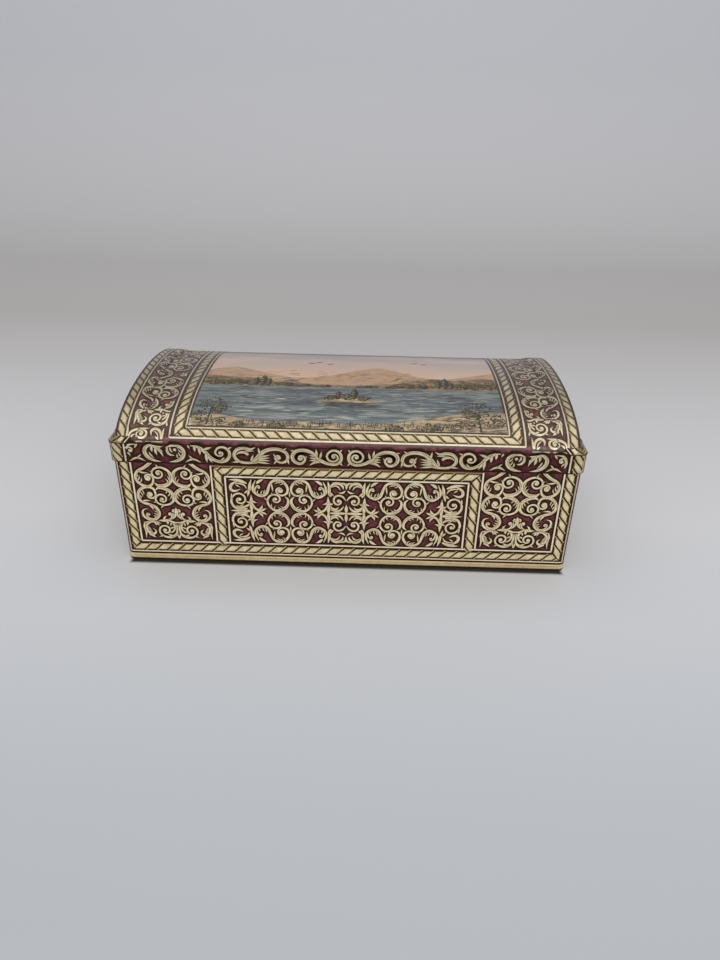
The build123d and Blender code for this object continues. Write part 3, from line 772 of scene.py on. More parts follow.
def skirt_print(side):
    ends = side % 2 == 1
    half, edge = face_size(ends, CAP_X, CAP_Y, CAP_R)
    p = Print()
    u = np.linspace(7.0 - half, half - 7.0, int(half * 2))
    p.field("ground", u, 67.1, np.where(over_strap(u) & (side == 2), STRAP_TOP, 57.4))
    for s in (-1, 1):
        rope_u = s * (half - SKIRT_ROPE)
        rope(p, (rope_u, SKIRT_PRINT_TOP), (rope_u, SKIRT_PRINT_LOW), lean=UPRIGHT, pitch=5.2, width=4.4)
        upright(p, s * (half - SKIRT_LINE), SKIRT_PRINT_TOP, SKIRT_PRINT_LOW, 0.7, "pale")
        upright(p, s * (edge - 0.4), SKIRT_PRINT_TOP, SKIRT_PRINT_LOW, 0.8)
    scroll = Print()
    if ends:
        scroll.add(frieze_inner(), scale=(0.9, 1))
    else:
        for part in (frieze_outer, frieze_inner):
            scroll.add(part(), move=(-FRIEZE_AXIS, 0))
    whole = Print()
    whole.mirrored(scroll)
    axis = 0 if ends else FRIEZE_AXIS
    p.add(whole, move=(axis, FRIEZE_MIDDLE * (1 - FRIEZE_SQUAT)), scale=(1, FRIEZE_SQUAT))
    # dark lines along the fold and along the hem: painted shade in the crease and at the skirt's edge
    across(p, edge, 67.1, 0.45, "margin")
    across(p, edge, 57.45, 0.3, "margin")
    return clear_of_straps(p) if side == 2 else p


def vault_print():
    """Side panels of the vault, and the frame of the picture between them."""
    p = Print()
    top = VAULT_LENGTH
    for s in (-1, 1):
        upright(p, s * VAULT_EDGE, 0.3, top - 0.3, 0.7, "pale")
    p.mirrored(vault_side())
    outer, middle, inner = VAULT_FOOT
    for s in (-1, 1):
        upright(p, s * VAULT_OUT, outer, top - outer, 0.8, "pale")
        u = s * VAULT_ROPE
        rope(p, (u, top - middle), (u, middle), lean=-UPRIGHT, mitre=(-s, s), width=3.7)
        upright(p, s * VAULT_IN, inner, top - inner, 0.7, "pale")
    for s, (a, b, c) in ((1, VAULT_FOOT), (-1, (top - outer, top - middle, top - inner))):
        across(p, VAULT_OUT, a, 0.8, "pale")
        rope(p, (-VAULT_ROPE, b), (VAULT_ROPE, b), lean=-LEVEL * s, mitre=(s, -s), width=3.3)
        across(p, VAULT_IN, c, 0.7, "pale")
    return p


def band_print():
    """Rope on the raised band of each cap."""
    p = Print()
    low, high = BAND_FOOT, VAULT_LENGTH - BAND_FOOT
    for s in (-1, 1):
        rope(p, (s * BAND_ROPE, high), (s * BAND_ROPE, low), lean=UPRIGHT, width=3.3)
        # dark line along the band's outer edge: partly a printed edge, partly painted shade of the edge's
        # curve
        upright(p, s * BAND_MARGIN, low, high, 0.7, "margin")
    return p


def shoulder_print(ends):
    """Print of a cap's leaning shoulder, v up the slope. The band's rope runs down over its front."""
    p = Print()
    _, edge = face_size(ends, CAP_X, CAP_Y, CAP_R)
    for s in (-1, 1):
        # dim gold over the shoulder's rounded corners: painted shade
        upright(p, s * (edge - 1.9), 3.0, 0.1, 4.0, "dim")
    if ends:
        across(p, edge, 0.9, 0.7)
        across(p, edge, 2.3, 0.5)
        return p
    for s in (-1, 1):
        # the rope over the shoulder's front is mostly dim gold: painted shade, with a short bright middle
        # as a painted highlight
        for (u, v), (end_u, end_v), width, ink in (
            ((107.6, 3.0), (108.2, 0.1), 5.0, "dim"),
            ((106.6, 2.7), (107.4, 0.7), 1.9, "gold"),
            ((110.6, 0.4), (107.9, 3.0), 0.8, "strand"),
            ((104.9, 3.0), (105.6, 0.1), 0.7, "strand"),
            ((103.6, 3.0), (104.6, 0.1), 0.6, "pale"),
        ):
            line(p, (s * u, v), (s * end_u, end_v), width, ink)
    return p


def end_panel_print():
    """Lunette of an end panel: line border, palmette and volutes. v is the height."""
    p = Print()
    base, inset = SHOULDER_Z + 1.6, 2.0         # foot of the border, and how far it lies in from the edge
    a, b = PANEL_A - inset, PANEL_B - inset
    start = math.asin((base - FOLD_Z) / b)
    angles = np.linspace(math.pi - start, start, 90)
    arc = np.column_stack([a * np.cos(angles), FOLD_Z + b * np.sin(angles)])
    ribbon(p, arc, np.full(len(arc), 0.9), "pale")
    line(p, arc[0], arc[-1], 0.9, "pale")
    half = Print()
    vine(half, [(-1.4, 74.0), (-5.0, 74.6), (-9.5, 77.4), (-14.0, 78.0), (-16.8, 76.4)],
        [0.6, 1.4, 1.6, 1.4, 1.2], eye=(-14.4, 75.8), turn=250, ball=0.8)
    vine(half, [(-10.2, 77.6), (-16.0, 79.0), (-21.0, 78.2), (-24.8, 75.8), (-28.0, 74.2), (-31.0, 74.6)],
        [0.5, 1.2, 1.6, 1.5, 1.3, 1.1], eye=(-29.8, 76.4), turn=190, ball=0.8)
    vine(half, [(-24.6, 76.0), (-28.6, 78.4), (-33.6, 77.4), (-38.0, 74.6), (-43.6, 73.6)],
        [0.5, 1.2, 1.5, 1.2, 0.2])
    for root, tip, width in (((-7.0, 75.6), (-8.4, 73.4), 1.0), ((-20.8, 78.0), (-19.4, 74.2), 1.3),
            ((-22.8, 76.8), (-23.0, 73.6), 1.0), ((-35.0, 76.6), (-36.4, 73.8), 0.9),
            ((-1.0, 74.2), (-2.4, 79.4), 1.4), ((-1.6, 74.0), (-5.8, 78.4), 1.3),
            ((-1.0, 73.6), (-4.6, 73.2), 0.8)):
        leaf(half, root, tip, width)
    p.mirrored(half)
    leaf(p, (0, 73.2), (0, 80.2), 1.6)
    return p


# --- picture on the lid --------------------------------------------------------
PICTURE_X = 75.3                                # half its width
PICTURE_LOW, PICTURE_HIGH = 8.7, 98.5           # its edges, along the way over the vault


def ridge(p, ink, points, foot):
    """Ground from one side of the picture to the other, with the points as its skyline."""
    top, _ = smooth(points, [0] * len(points))
    rng = np.random.default_rng(len(points) + int(foot))
    top[1:-1, 1] += rng.normal(0, 0.12, len(top) - 2)
    top[:, 0] = np.clip(top[:, 0], -PICTURE_X, PICTURE_X)
    p.field(ink, top[:, 0], top[:, 1], foot)


def strokes(p, ink, rng, count, x_range, v_range, length, width, slope=0.0):
    """Short strokes of a brush, scattered over a field."""
    for _ in range(count):
        x, v = rng.uniform(*x_range), rng.uniform(*v_range)
        reach = length * rng.uniform(0.4, 1.0)
        tip = np.clip(x + reach, -PICTURE_X, PICTURE_X)
        dabs, widths = smooth(
            [(x, v), ((x + tip) / 2, v + slope * reach / 2 + rng.normal(0, 0.1)), (tip, v + slope * reach)],
            [width * 0.3, width, width * 0.2])
        p.strip(ink, dabs + normals(dabs) * widths[:, None] / 2, dabs - normals(dabs) * widths[:, None] / 2)


def crown(p, rng, x, v, wide, high):
    """Leafy crown of a tree or bush, dabbed: dark below, lighter touches on the sunny side."""
    touches = ("bush", 70, 0.0, 1.0, 0.75), ("leaf_light", 26, 0.14, 0.75, 0.35)
    for ink, count, shift, reach, width in touches:
        for _ in range(count):
            a, r = rng.uniform(0, 2 * math.pi), math.sqrt(rng.uniform(0, 1)) * reach
            ragged = 1 + 0.18 * math.sin(3 * a + x) + 0.12 * math.sin(7 * a)
            u = x + wide / 2 * (r * ragged * math.cos(a) - shift)
            w = v + high / 2 * (1 + r * ragged * math.sin(a) + shift)
            dab(p, ink, (u, w), rng.uniform(0.5, 1.3), a + rng.normal(0, 0.6), width)


def crowns(p, rng, *spots):
    for spot in spots:
        crown(p, rng, *spot)


def dab(p, ink, spot, length, angle, width):
    """One touch of a small brush."""
    along = np.array([math.cos(angle), math.sin(angle)]) * length
    f = np.linspace(-0.5, 0.5, 5)[:, None]
    path = np.clip(np.array(spot) + along * f, (-PICTURE_X, PICTURE_LOW), (PICTURE_X, PICTURE_HIGH))
    side = np.array([-along[1], along[0]]) / length * width / 2 * np.cos(f * 2.6)
    p.strip(ink, path + side, path - side)


def poplar(p, rng, x, v, high):
    for k in range(9):
        f = k / 8
        wide = high * 0.17 * math.sin(math.pi * (0.12 + 0.84 * f)) + 0.1
        disc(p, (x + rng.normal(0, 0.12), v + high * (0.12 + 0.86 * f)), wide, "bush")
        if k % 2:
            disc(p, (x - wide * 0.4, v + high * (0.14 + 0.84 * f)), wide * 0.4, "leaf_light")
    line(p, (x, v), (x, v + high * 0.2), 0.35, "bush")


def picture():
    """Lake between wooded hills at evening, an islet with poplars, and a reedy shore in front."""
    p = Print()
    rng = np.random.default_rng(7)
    wide = (-PICTURE_X, PICTURE_X)
    bank = 43.0
    ridge(p, "sky", [(-PICTURE_X, PICTURE_HIGH), (0, PICTURE_HIGH), (PICTURE_X, PICTURE_HIGH)], 30.0)
    ridge(p, "far_hill", [(-75.3, 62), (-62, 67), (-48, 61), (-30, 54), (-12, 57), (4, 66), (16, 70),
        (30, 61), (44, 55), (60, 60), (75.3, 66)], bank)
    ridge(p, "hill", [(-75.3, 55), (-64, 53.5), (-50, 52), (-38, 48), (-20, 46.6), (0, 45.6), (18, 48),
        (30, 51), (42, 56), (54, 54), (66, 58), (75.3, 57)], bank - 1)
    ridge(p, "water", [(-75.3, 43.4), (-40, 42.8), (0, 43.2), (36, 42.6), (75.3, 43.2)], PICTURE_LOW)
    ridge(p, "shore", [(-75.3, 15.5), (-62, 16.8), (-50, 14.2), (-36, 12.6), (-20, 13.4), (-4, 12.0),
        (14, 12.8), (28, 14.6), (44, 19.0), (58, 21.6), (75.3, 23.0)], PICTURE_LOW)
    for ink, *field in (
        ("glint", 190, wide, (21, 42), 9.0, 0.32),
        ("glint", 60, (-58, 30), (15, 24), 12.0, 0.45),
        ("stroke", 240, wide, (20, 42), 7.0, 0.3),
        ("stroke", 90, (20, 75), (43.5, 54), 4.0, 0.4, 0.3),
        ("stroke", 90, (-75, -28), (43.5, 51), 4.0, 0.4, -0.2),
        ("hill", 60, wide, (46, 60), 6.0, 0.5, 0.3),
        ("stroke", 50, wide, (50, 62), 5.0, 0.22, 0.5),
        ("stroke", 170, wide, (9.2, 13), 6.0, 0.4, 0.08),
        ("stroke", 90, (34, 75), (12, 20), 5.0, 0.4, 0.15),
        ("glint", 60, wide, (9.2, 14), 5.0, 0.4, 0.05),
    ):
        strokes(p, ink, rng, *field)
    crowns(p, rng, (-71, 44, 9, 7), (-63, 43.6, 8, 5.5), (-55.5, 43.6, 8, 6), (-33, 43.4, 9, 3.4),
        (-24, 43.2, 8, 2.6), (22, 43.4, 8, 3), (29, 43.6, 7, 4.4), (36, 43.8, 8, 5.4), (57, 44, 8, 6),
        (64, 44.4, 9, 7.4), (71.5, 44.6, 8, 8), (-14, 43.2, 9, 2.2), (8, 43.2, 12, 2.4))
    for x, v, h in ((-48, 43.4, 9.5), (-44.6, 43.2, 12), (-41.6, 43.2, 8.6), (45, 44, 10),
            (48.4, 44.2, 12.5), (51.4, 44, 8)):
        poplar(p, rng, x, v, h)
    islet, _ = smooth([(-17, 29.4), (-12, 31.2), (-4, 32.4), (6, 32.0), (13, 30.6), (17, 29.2)], [0] * 6)
    foot = 29.3 - 0.9 * np.sin(np.linspace(0, math.pi, len(islet)))
    p.field("shore", islet[:, 0], islet[:, 1], foot)
    crowns(p, rng, (-9, 30.6, 7, 4.4), (-2, 31, 6, 5.6), (7, 30.4, 6.5, 4))
    poplar(p, rng, 2.4, 31, 11)
    poplar(p, rng, -5.4, 31, 8.5)
    strokes(p, "stroke", rng, 60, (-14, 10), (24.4, 29), 6.0, 0.5)
    crowns(p, rng, (-71, 10.6, 9, 9), (-63, 9.6, 10, 6), (66, 12, 13, 9), (56, 11, 9, 5), (72, 12, 7, 9),
        (-34, 9.0, 9, 3), (22, 9.0, 9, 3.2), (-52, 9.0, 8, 3.4), (40, 9.4, 10, 4))
    for x, lean in ((-67, 1), (63, -1)):
        line(p, (x, 10), (x + lean, 22), 0.9, "bush")
        line(p, (x + lean * 0.6, 17), (x + lean * 4, 23), 0.5, "bush")
        crown(p, rng, x + lean, 20, 14, 11)
        crown(p, rng, x + lean * 5, 18, 8, 7)
    for _ in range(150):
        x = rng.uniform(-56, 52)
        v = rng.uniform(9.0, 12.2)
        line(p, (x, v), (x + rng.normal(0, 0.7), v + rng.uniform(1.2, 3.4)), 0.28, "bush")
    for x, v in ((-22, 76), (-18, 78), (-12, 75), (34, 80), (39, 78.5)):
        bird(p, x, v)
    return p


def bird(p, x, v):
    """Bird far away."""
    for s in (-1, 1):
        path, widths = smooth([(x, v), (x + s * 0.9, v + 0.7), (x + s * 2.0, v + 0.3)], [0.4, 0.35, 0.1])
        p.strip("stroke", path + normals(path) * widths[:, None], path - normals(path) * widths[:, None])


# --- meshes -------------------------------------------------------------------
def add_object(name, data):
    ob = bpy.data.objects.new(name, data)
    bpy.context.scene.collection.objects.link(ob)
    return ob


def add_mesh(name, verts, faces):
    mesh = bpy.data.meshes.new(name)
    mesh.from_pydata(verts, [], faces)
    return add_object(name, mesh)


def nowhere(u, v):
    return np.zeros(len(u), bool)


def near_corner(half, radius):
    return lambda u, v: np.abs(u) > half - radius - CORNER_REACH


def near_fold(u, v):
    return (v < FOLD_REACH) | (v > VAULT_LENGTH - FOLD_REACH)


class Surface:
    """Metal face that takes a print. tight tells where it bends sharply."""

    def __init__(self, place, tight=nowhere, facet=FACET, step=FLAT_STEP):
        self.place, self.tight, self.facet, self.step = place, tight, facet, step


def to_mesh(name, strips, face, lift):
    """Mesh of all the strips, cut finely enough to follow the metal."""
    verts, faces, start = [], [], 0
    for left, right, order in strips:
        n = len(left)
        facet = FINE_FACET if face.tight(left[:, 0], left[:, 1]).any() else face.facet
        across = max(1, math.ceil(np.hypot(*(right - left).T).max() / facet))
        d1, d2 = np.diff(left, axis=0), (right - left)[:-1]
        turned = (d2[:, 0] * d1[:, 1] - d2[:, 1] * d1[:, 0]).sum() < 0
        rows = np.vstack([left + (right - left) * i / across for i in range(across + 1)])
        verts.append(face.place(rows[:, 0], rows[:, 1], lift + face.step * (order % LEVELS)))
        for row in range(across):
            for i in range(n - 1):
                low = start + row * n + i
                quad = (low, low + n, low + n + 1, low + 1)
                faces.append(quad[::-1] if turned else quad)
        start += (across + 1) * n
    return add_mesh(name, (np.vstack(verts) * MM).tolist(), faces)


def lay(name, print_, face, body, inks):
    """Lay a print on the metal, one object for each ink."""
    for ink, strips in print_.strips.items():
        if strips:
            ob = to_mesh(f"{name}_{ink}", strips, face, LIFT[ink])
            ob.data.materials.append(inks[ink])
            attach(ob, body)


# --- materials -------------------------------------------------------------------
# Colours are written as a screen shows them. Tones are pairs of a share of the grain and a colour.
COAT_ROUGH = 0.18                               # varnish over the print
LID_COAT = 0.4
LID_GLOSS, BOX_GLOSS = 0.3, 0.1                 # of the dark inks
WALL_BURGUNDY = (0.32, (50, 20, 22)), (0.5, (88, 37, 44)), (0.68, (118, 56, 63))
# the lid's burgundy is the wall's painted lighter: painted sheen
LID_BURGUNDY_PAINTED_SHEEN = (0.32, (60, 28, 28)), (0.5, (106, 52, 56)), (0.68, (138, 76, 80))
LACQUER_TONES = (0.3, (184, 160, 106)), (0.7, (200, 177, 124))
STEEL_TONES = (0.3, (150, 146, 140)), (0.7, (184, 180, 172))
CREST_SHADE_FROM, CREST_SHADE_SHARE = 76.0, 0.72                    # the lid's inks are painted darker from this height, to this share: painted shade towards the crest
GOLD_GRAIN, DARK_GRAIN, PRINT_GRAIN, LACQUER_GRAIN = 260, 300, 420, 90
TIN_ROUGH, TIN_GLOSS = 0.34, 0.3
LACQUER_METAL, PRINT_METAL = 0.7, 0.1           # share of bare metal that shows through


def srgb(*colour):
    """Linear light of a colour of the screen."""
    shares = [c / 255 for c in colour]
    return tuple(c / 12.92 if c <= 0.04045 else ((c + 0.055) / 1.055) ** 2.4 for c in shares)


def fill(tree, target, inputs):
    """Give each input of a node its value, or link it to the output of another node."""
    for key, value in inputs.items():
        if isinstance(value, bpy.types.NodeSocket):
            tree.links.new(value, target.inputs[key])
        else:
            target.inputs[key].default_value = value


def node(tree, kind, inputs, **settings):
    n = tree.nodes.new(f"ShaderNode{kind}")
    for key, value in settings.items():
        setattr(n, key, value)
    fill(tree, n, inputs)
    return n


def coordinate(tree, kind="Object"):
    return node(tree, "TexCoord", {}).outputs[kind]


def object_axis(tree, axis):
    return node(tree, "SeparateXYZ", {"Vector": coordinate(tree)}).outputs[axis]


def maths(tree, operation, *values):
    return node(tree, "Math", dict(enumerate(values)), operation=operation).outputs["Value"]


def spread(tree, value, low, high, start=0.0, end=1.0, kind="LINEAR"):
    """The value's range from low to high, stretched to go from start to end."""
    inputs = {"Value": value, "From Min": low, "From Max": high, "To Min": start, "To Max": end}
    return node(tree, "MapRange", inputs, interpolation_type=kind).outputs["Result"]


def blend(tree, share, a, b):
    """Colour a where the share is 0, colour b where it is 1."""
    return node(tree, "Mix", {"Factor": share, "A": a, "B": b}, data_type="RGBA").outputs["Result"]


def grain(tree, scale, detail, rough, stretch=(1, 1, 1)):
    """Fine noise over a piece, drawn out by stretch."""
    stretched = node(tree, "Mapping", {"Vector": coordinate(tree), "Scale": stretch}).outputs["Vector"]
    inputs = {"Vector": stretched, "Scale": scale, "Detail": detail, "Roughness": rough}
    return node(tree, "TexNoise", inputs).outputs["Fac"]


def ramp(tree, value, tones):
    r = node(tree, "ValToRGB", {"Fac": value})
    while len(r.color_ramp.elements) < len(tones):
        r.color_ramp.elements.new(0.5)
    for element, (at, colour) in zip(r.color_ramp.elements, tones):
        element.position = at
        element.color = (*srgb(*colour), 1)
    return r.outputs["Color"]


def material(name):
    m = bpy.data.materials.new(name)
    m.use_nodes = True
    return m, m.node_tree


def finish(tree, colour, rough, metal=0.0, gloss=0.5, coat=0.0):
    """Set the surface. gloss is the strength of its reflections, coat the weight of the varnish."""
    fill(tree, tree.nodes["Principled BSDF"], {
        "Base Color": colour, "Roughness": rough, "Metallic": metal, "Specular IOR Level": gloss,
        "Coat Weight": coat, "Coat Roughness": COAT_ROUGH})


def painted_crest_shade(tree, colour):
    """Colour painted darker towards the crest of the vault: painted shade."""
    light = spread(tree, object_axis(tree, "Z"), CREST_SHADE_FROM * MM, (FOLD_Z + VAULT_B) * MM, 1.0, CREST_SHADE_SHARE)
    return node(tree, "VectorMath", {0: colour, "Scale": light}, operation="SCALE").outputs["Vector"]


def shaded_ink(name, tones, scale, metal=0.0, rough=0.4, stretch=(1, 1, 1), gloss=0.5, coat=0.0):
    """Ink or lacquer whose colour wanders through the tones."""
    m, tree = material(name)
    colour = ramp(tree, grain(tree, scale, 8.0, 0.68, stretch), tones)
    # with a coat, the colour is painted darker towards the crest: painted shade
    finish(tree, painted_crest_shade(tree, colour) if coat else colour, rough, metal, gloss, coat)
    return m


GOLDS = {                                       # darker tone, lighter tone, share of metal
    "gold": ((202, 181, 134), (252, 238, 200), 0.55),
    "pale": ((220, 205, 174), (248, 236, 212), 0.35),
    "dim": ((150, 130, 84), (176, 154, 104), 0.55),
    "wash": ((190, 170, 120), (220, 200, 150), 0.55),
    "foot": ((216, 194, 140), (247, 226, 174), 0.55),
}
DARKS = {                                       # darker tone, lighter tone
    "shade": ((34, 18, 10), (60, 34, 20)),
    "rim": ((34, 20, 8), (56, 36, 18)),
    "strand": ((34, 22, 8), (54, 38, 18)),
    "vein": ((36, 24, 8), (60, 44, 22)),
    "margin": ((24, 14, 8), (42, 26, 14)),
    "ground": ((58, 25, 30), (100, 46, 53)),
}
# the lid's pale and wash golds are the wall's painted darker: painted shade
LID_GOLDS_PAINTED_SHADE = {
    **GOLDS,
    "pale": ((200, 184, 148), (236, 222, 188), 0.35),
    "wash": ((178, 157, 108), (208, 187, 138), 0.55),
}
# the lid's dark ground ink is the wall's painted lighter: painted sheen
LID_DARKS_PAINTED_SHEEN = {**DARKS, "shade": ((46, 26, 12), (76, 48, 28))}


def ornament_inks(prefix, light_share, golds=GOLDS, darks=DARKS, gloss=BOX_GLOSS, coat=0.0):
    """Gold and dark inks of one sheet. The share that scales the golds paints a sheet's golds darker:
    painted shade. gloss is that of the darks.
    """
    inks = {}
    for ink, (low, high, metal) in golds.items():
        tones = [(at, [c * light_share for c in tone]) for at, tone in ((0.3, low), (0.7, high))]
        inks[ink] = shaded_ink(f"{prefix}_{ink}", tones, GOLD_GRAIN, metal, coat=coat)
    for ink, (low, high) in darks.items():
        tones = (0.3, low), (0.7, high)
        inks[ink] = shaded_ink(f"{prefix}_{ink}", tones, DARK_GRAIN, gloss=gloss, coat=coat)
    return inks


# the skirt, lid and band golds are the wall's painted darker: painted shade
WALL_INKS = ornament_inks("wall", 1.0)
SKIRT_INKS = ornament_inks("skirt", 0.93)
LID_INKS = ornament_inks("lid", 0.96, LID_GOLDS_PAINTED_SHADE, LID_DARKS_PAINTED_SHEEN, LID_GLOSS, LID_COAT)
BAND_INKS = ornament_inks("band", 0.90, LID_GOLDS_PAINTED_SHADE, LID_DARKS_PAINTED_SHEEN, LID_GLOSS, LID_COAT)

PICTURE_ROUGH = 0.42
PICTURE_TONES = {                               # tones, scale of the grain, how it is drawn out
    "far_hill": (((0.3, (150, 124, 104)), (0.5, (190, 152, 114)), (0.7, (140, 128, 120))), 90, (1, 2, 1)),
    "hill": (((0.3, (66, 58, 46)), (0.48, (118, 98, 70)), (0.7, (176, 142, 98))), 170, (1, 2, 1)),
    "water": (((0.3, (62, 70, 74)), (0.5, (98, 106, 106)), (0.72, (146, 146, 138))), 80, (0.5, 4, 1)),
    "glint": (((0.3, (132, 140, 140)), (0.7, (196, 190, 174))), 120, (1, 1, 1)),
    "shore": (((0.3, (104, 84, 60)), (0.5, (168, 146, 110)), (0.7, (206, 184, 144))), 170, (1, 3, 1)),
    "stroke": (((0.3, (52, 46, 42)), (0.7, (92, 82, 70))), 200, (1, 1, 1)),
    "bush": (((0.3, (34, 32, 26)), (0.7, (66, 60, 42))), 300, (1, 1, 1)),
    "leaf_light": (((0.3, (96, 88, 54)), (0.7, (150, 132, 82))), 300, (1, 1, 1)),
}
SKY_TONES = (0.0, (222, 184, 144)), (0.3, (204, 176, 152)), (0.65, (168, 158, 150)), (1.0, (136, 136, 138))
CLOUD_TONES = (0.0, (212, 158, 124)), (1.0, (190, 178, 168))
CLOUD_COVER = (0.42, (0, 0, 0)), (0.68, (255, 255, 255))
SKY_FRONT, SKY_BACK = -0.022, 0.045             # the sky fades between these places along Y, metres


def sky_ink():
    """Evening sky: warm near the hills, cooler above, with drifting cloud."""
    m, tree = material("sky_ink")
    height = spread(tree, object_axis(tree, "Y"), SKY_FRONT, SKY_BACK)
    cover = ramp(tree, grain(tree, 55, 7.0, 0.5, (0.6, 1.8, 1.0)), CLOUD_COVER)
    colour = blend(tree, cover, ramp(tree, height, SKY_TONES), ramp(tree, height, CLOUD_TONES))
    finish(tree, colour, PICTURE_ROUGH, coat=LID_COAT)
    return m


def printed_sheet(name, centre, burgundy=LID_BURGUNDY_PAINTED_SHEEN, coat=LID_COAT):
    """Tin printed burgundy on the outside and lacquered gold inside; centre lies inside the piece."""
    m, tree = material(name)
    away = node(tree, "VectorMath", {0: coordinate(tree), 1: centre}, operation="SUBTRACT")
    outward = node(tree, "VectorMath", {0: away.outputs["Vector"], 1: coordinate(tree, "Normal")},
                   operation="DOT_PRODUCT")
    outside = maths(tree, "GREATER_THAN", outward.outputs["Value"], 0.0)
    printed = ramp(tree, grain(tree, PRINT_GRAIN, 5.0, 0.65), burgundy)
    lacquer = ramp(tree, grain(tree, LACQUER_GRAIN, 5.0, 0.6), LACQUER_TONES)
    metal = spread(tree, outside, 0.0, 1.0, LACQUER_METAL, PRINT_METAL)
    finish(tree, blend(tree, outside, lacquer, printed), TIN_ROUGH, metal, TIN_GLOSS, coat)
    return m


PICTURE_INKS = {"sky": sky_ink()}
for name, (tones, scale, stretch) in PICTURE_TONES.items():
    PICTURE_INKS[name] = shaded_ink(name, tones, scale, 0.0, PICTURE_ROUGH, stretch)
LACQUER = shaded_ink("gold_lacquer", LACQUER_TONES, LACQUER_GRAIN, LACQUER_METAL, 0.32)
WIRE = shaded_ink("hinge_wire_steel", STEEL_TONES, DARK_GRAIN, 0.9, 0.35)

for name, finished in (
    ("body_wall", printed_sheet("printed_wall", (0, 0, 0.03), WALL_BURGUNDY, 0.0)),
    ("lid_vault", printed_sheet("printed_vault", (0, 0, 0.06))),
    ("lid_end_left", printed_sheet("printed_cap_left", (-0.095, 0, 0.06))),
    ("lid_end_right", printed_sheet("printed_cap_right", (0.095, 0, 0.06))),
    ("base_plate", LACQUER),
    ("hinge_strap_left", LACQUER),
    ("hinge_strap_right", LACQUER),
    ("hinge_wire", WIRE),
):
    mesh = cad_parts[name].data
    mesh.materials.clear()
    mesh.materials.append(finished)


# --- assembly -------------------------------------------------------------------
VAULT = Surface(vault, near_fold, VAULT_FACET, BENT_STEP)
for side, label in enumerate(("front", "right", "back", "left")):
    ends = side % 2 == 1
    corner = near_corner(WALL_Y if ends else WALL_X, WALL_R)
    lay(f"wall_{label}", body_print(side), Surface(wall(side), corner), "box", WALL_INKS)
    corner = near_corner(CAP_Y if ends else CAP_X, CAP_R)
    lay(f"skirt_{label}", skirt_print(side), Surface(skirt(side), corner), "lid", SKIRT_INKS)
    lean = Surface(shoulder(side), corner)
    lay(f"shoulder_{label}", shoulder_print(ends), lean, "lid", SKIRT_INKS)
lay("vault", vault_print(), VAULT, "lid", LID_INKS)
lay("band", band_print(), VAULT, "lid", BAND_INKS)
lay("picture", picture(), VAULT, "lid", PICTURE_INKS)
for side, label in ((1, "right"), (3, "left")):
    lay(f"end_{label}", end_panel_print(), Surface(end_panel(side)), "lid", LID_INKS)


# --- studio -------------------------------------------------------------------
ROOM = (176, 177, 182)                          # what the camera sees beyond the paper
PAPER_HALF, PAPER_START, PAPER_BEND, PAPER_TOP = 3.0, -3.0, 0.62, 1.6   # metres
BEND_R = 0.25
PAPER_ROUGH = 0.7
PAPER_FRONT, PAPER_BACK = -0.24, 1.13           # its painted light and shade lie between these ways along the paper
# tones of the paper along it: painted light and shade of the studio
PAPER_LIGHT_AND_SHADE = (
    (-0.24, (186, 189, 193)), (-0.195, (191, 194, 198)), (-0.149, (199, 202, 205)),
    (-0.10, (207, 209, 212)), (-0.01, (217, 217, 218)), (0.12, (210, 210, 210)),
    (0.376, (189, 185, 182)), (0.75, (194, 193, 192)), (1.13, (208, 209, 213)),
)
# painted shadow on the paper round the foot of the box
FOOT_SHADOW = (34, 33, 31)
FOOT_SHADOW_CORE, FOOT_SHADOW_END = 0.0019, 0.0044   # out from the foot, metres
FOOT_SHADOW_SIZE = (("X", 0.1073), ("Y", 0.0575))    # half sizes; the ends of the foot throw none
SKY_LIGHT, SKY_STRENGTH = (0.97, 0.97, 1.0, 1), 0.62


def paper():
    """Paper painted lighter and darker along it for the studio's light and shade, with a painted shadow
    round the foot of the box.
    """
    m, tree = material("paper")
    way = maths(tree, "ADD", object_axis(tree, "Y"), object_axis(tree, "Z"))
    share = spread(tree, way, PAPER_FRONT, PAPER_BACK)
    tones = [((q - PAPER_FRONT) / (PAPER_BACK - PAPER_FRONT), tone) for q, tone in PAPER_LIGHT_AND_SHADE]
    past = [maths(tree, "SUBTRACT", maths(tree, "ABSOLUTE", object_axis(tree, axis)), half)
            for axis, half in FOOT_SHADOW_SIZE]
    fade = spread(tree, maths(tree, "MAXIMUM", *past), FOOT_SHADOW_CORE, FOOT_SHADOW_END, kind="SMOOTHSTEP")
    finish(tree, blend(tree, fade, (*srgb(*FOOT_SHADOW), 1), ramp(tree, share, tones)), PAPER_ROUGH)
    return m


def floor_and_backdrop():
    """One sheet: flat floor that curves up into a wall behind."""
    profile = [(PAPER_START, 0.0), (PAPER_BEND, 0.0)]
    for k in range(1, 17):
        a = math.pi / 2 * k / 16
        profile.append((PAPER_BEND + BEND_R * math.sin(a), BEND_R * (1 - math.cos(a))))
    profile.append((PAPER_BEND + BEND_R, PAPER_TOP))
    verts = [(x, y, z) for y, z in profile for x in (-PAPER_HALF, PAPER_HALF)]
    faces = [(2 * i, 2 * i + 1, 2 * i + 3, 2 * i + 2) for i in range(len(profile) - 1)]
    ob = add_mesh("floor", verts, faces)
    for f in ob.data.polygons:
        f.use_smooth = True
    ob.data.materials.append(paper())


def lamp(name, spot, target, size, power):
    data = bpy.data.lights.new(name, "AREA")
    data.shape = "RECTANGLE"
    data.size, data.size_y = size
    data.energy = power
    ob = add_object(name, data)
    ob.location = spot
    ob.rotation_euler = (Vector(target) - Vector(spot)).to_track_quat("-Z", "Y").to_euler()


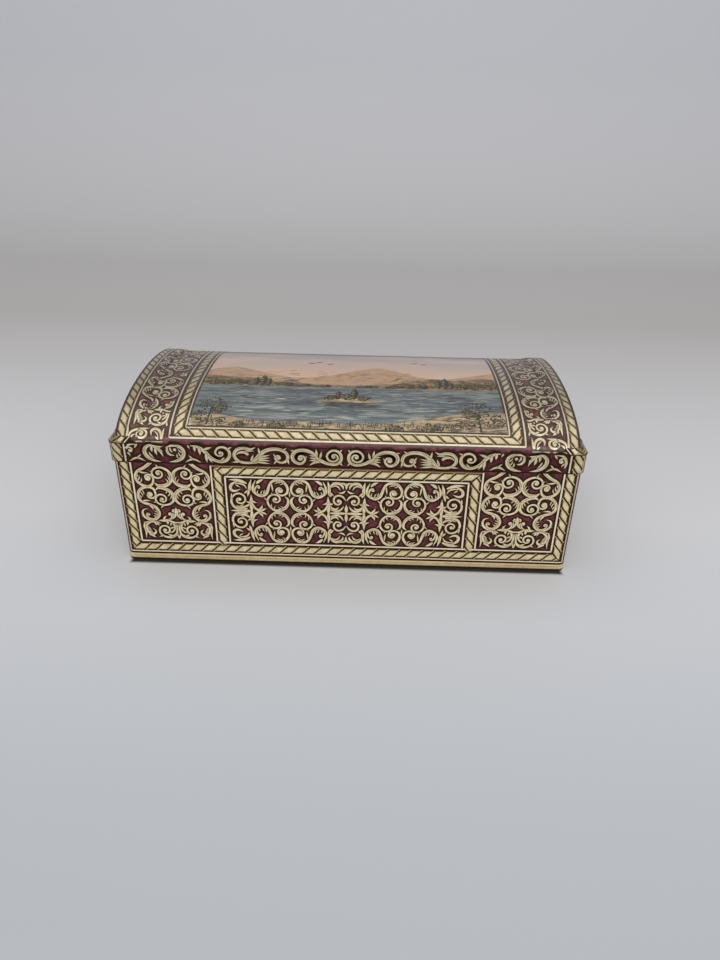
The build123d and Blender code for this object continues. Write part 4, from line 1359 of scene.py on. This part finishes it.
def room():
    """Even light from all round; the camera itself sees the room's own colour."""
    world = bpy.data.worlds.new("studio")
    bpy.context.scene.world = world
    world.use_nodes = True
    tree = world.node_tree
    light = tree.nodes["Background"]
    fill(tree, light, {"Color": SKY_LIGHT, "Strength": SKY_STRENGTH})
    seen = node(tree, "Background", {"Color": (*srgb(*ROOM), 1)})
    either = node(tree, "MixShader", {
        "Fac": node(tree, "LightPath", {}).outputs["Is Camera Ray"],
        1: light.outputs["Background"], 2: seen.outputs["Background"]})
    fill(tree, tree.nodes["World Output"], {"Surface": either.outputs["Shader"]})


floor_and_backdrop()
room()
lamp("top_light", (0.0, 0.1, 1.1), (0, 0, 0.05), (1.4, 0.9), 2.6)
lamp("front_light", (0.1, -1.1, 0.55), (0, 0, 0.05), (1.3, 0.6), 6.4)


# --- camera -------------------------------------------------------------------
CAMERA_PLACE = (0.01058, -0.3530, 0.21567)      # metres
CAMERA_PITCH, CAMERA_ROLL, CAMERA_YAW = 29.25, 1.19, -0.80      # degrees
CAMERA_LENS, CAMERA_FRAME = 26.44, 36.0         # focal length and height of the frame, millimetres


def add_camera():
    """Camera that looks down at the front."""
    pitch, roll, yaw = (math.radians(a) for a in (CAMERA_PITCH, CAMERA_ROLL, CAMERA_YAW))
    forward = Vector((math.sin(yaw) * math.cos(pitch), math.cos(yaw) * math.cos(pitch), -math.sin(pitch)))
    right = Vector((math.cos(yaw), -math.sin(yaw), 0))
    up = right.cross(forward)
    x_axis = right * math.cos(roll) + up * math.sin(roll)
    y_axis = up * math.cos(roll) - right * math.sin(roll)
    data = bpy.data.cameras.new("camera")
    data.sensor_fit = "VERTICAL"
    data.sensor_height = CAMERA_FRAME
    data.lens = CAMERA_LENS
    data.clip_start = 0.01
    ob = add_object("camera", data)
    turn = Matrix((x_axis, y_axis, -forward)).transposed().to_4x4()
    ob.matrix_world = Matrix.Translation(CAMERA_PLACE) @ turn
    bpy.context.scene.camera = ob


add_camera()
bpy.context.scene.view_settings.view_transform = "Standard"
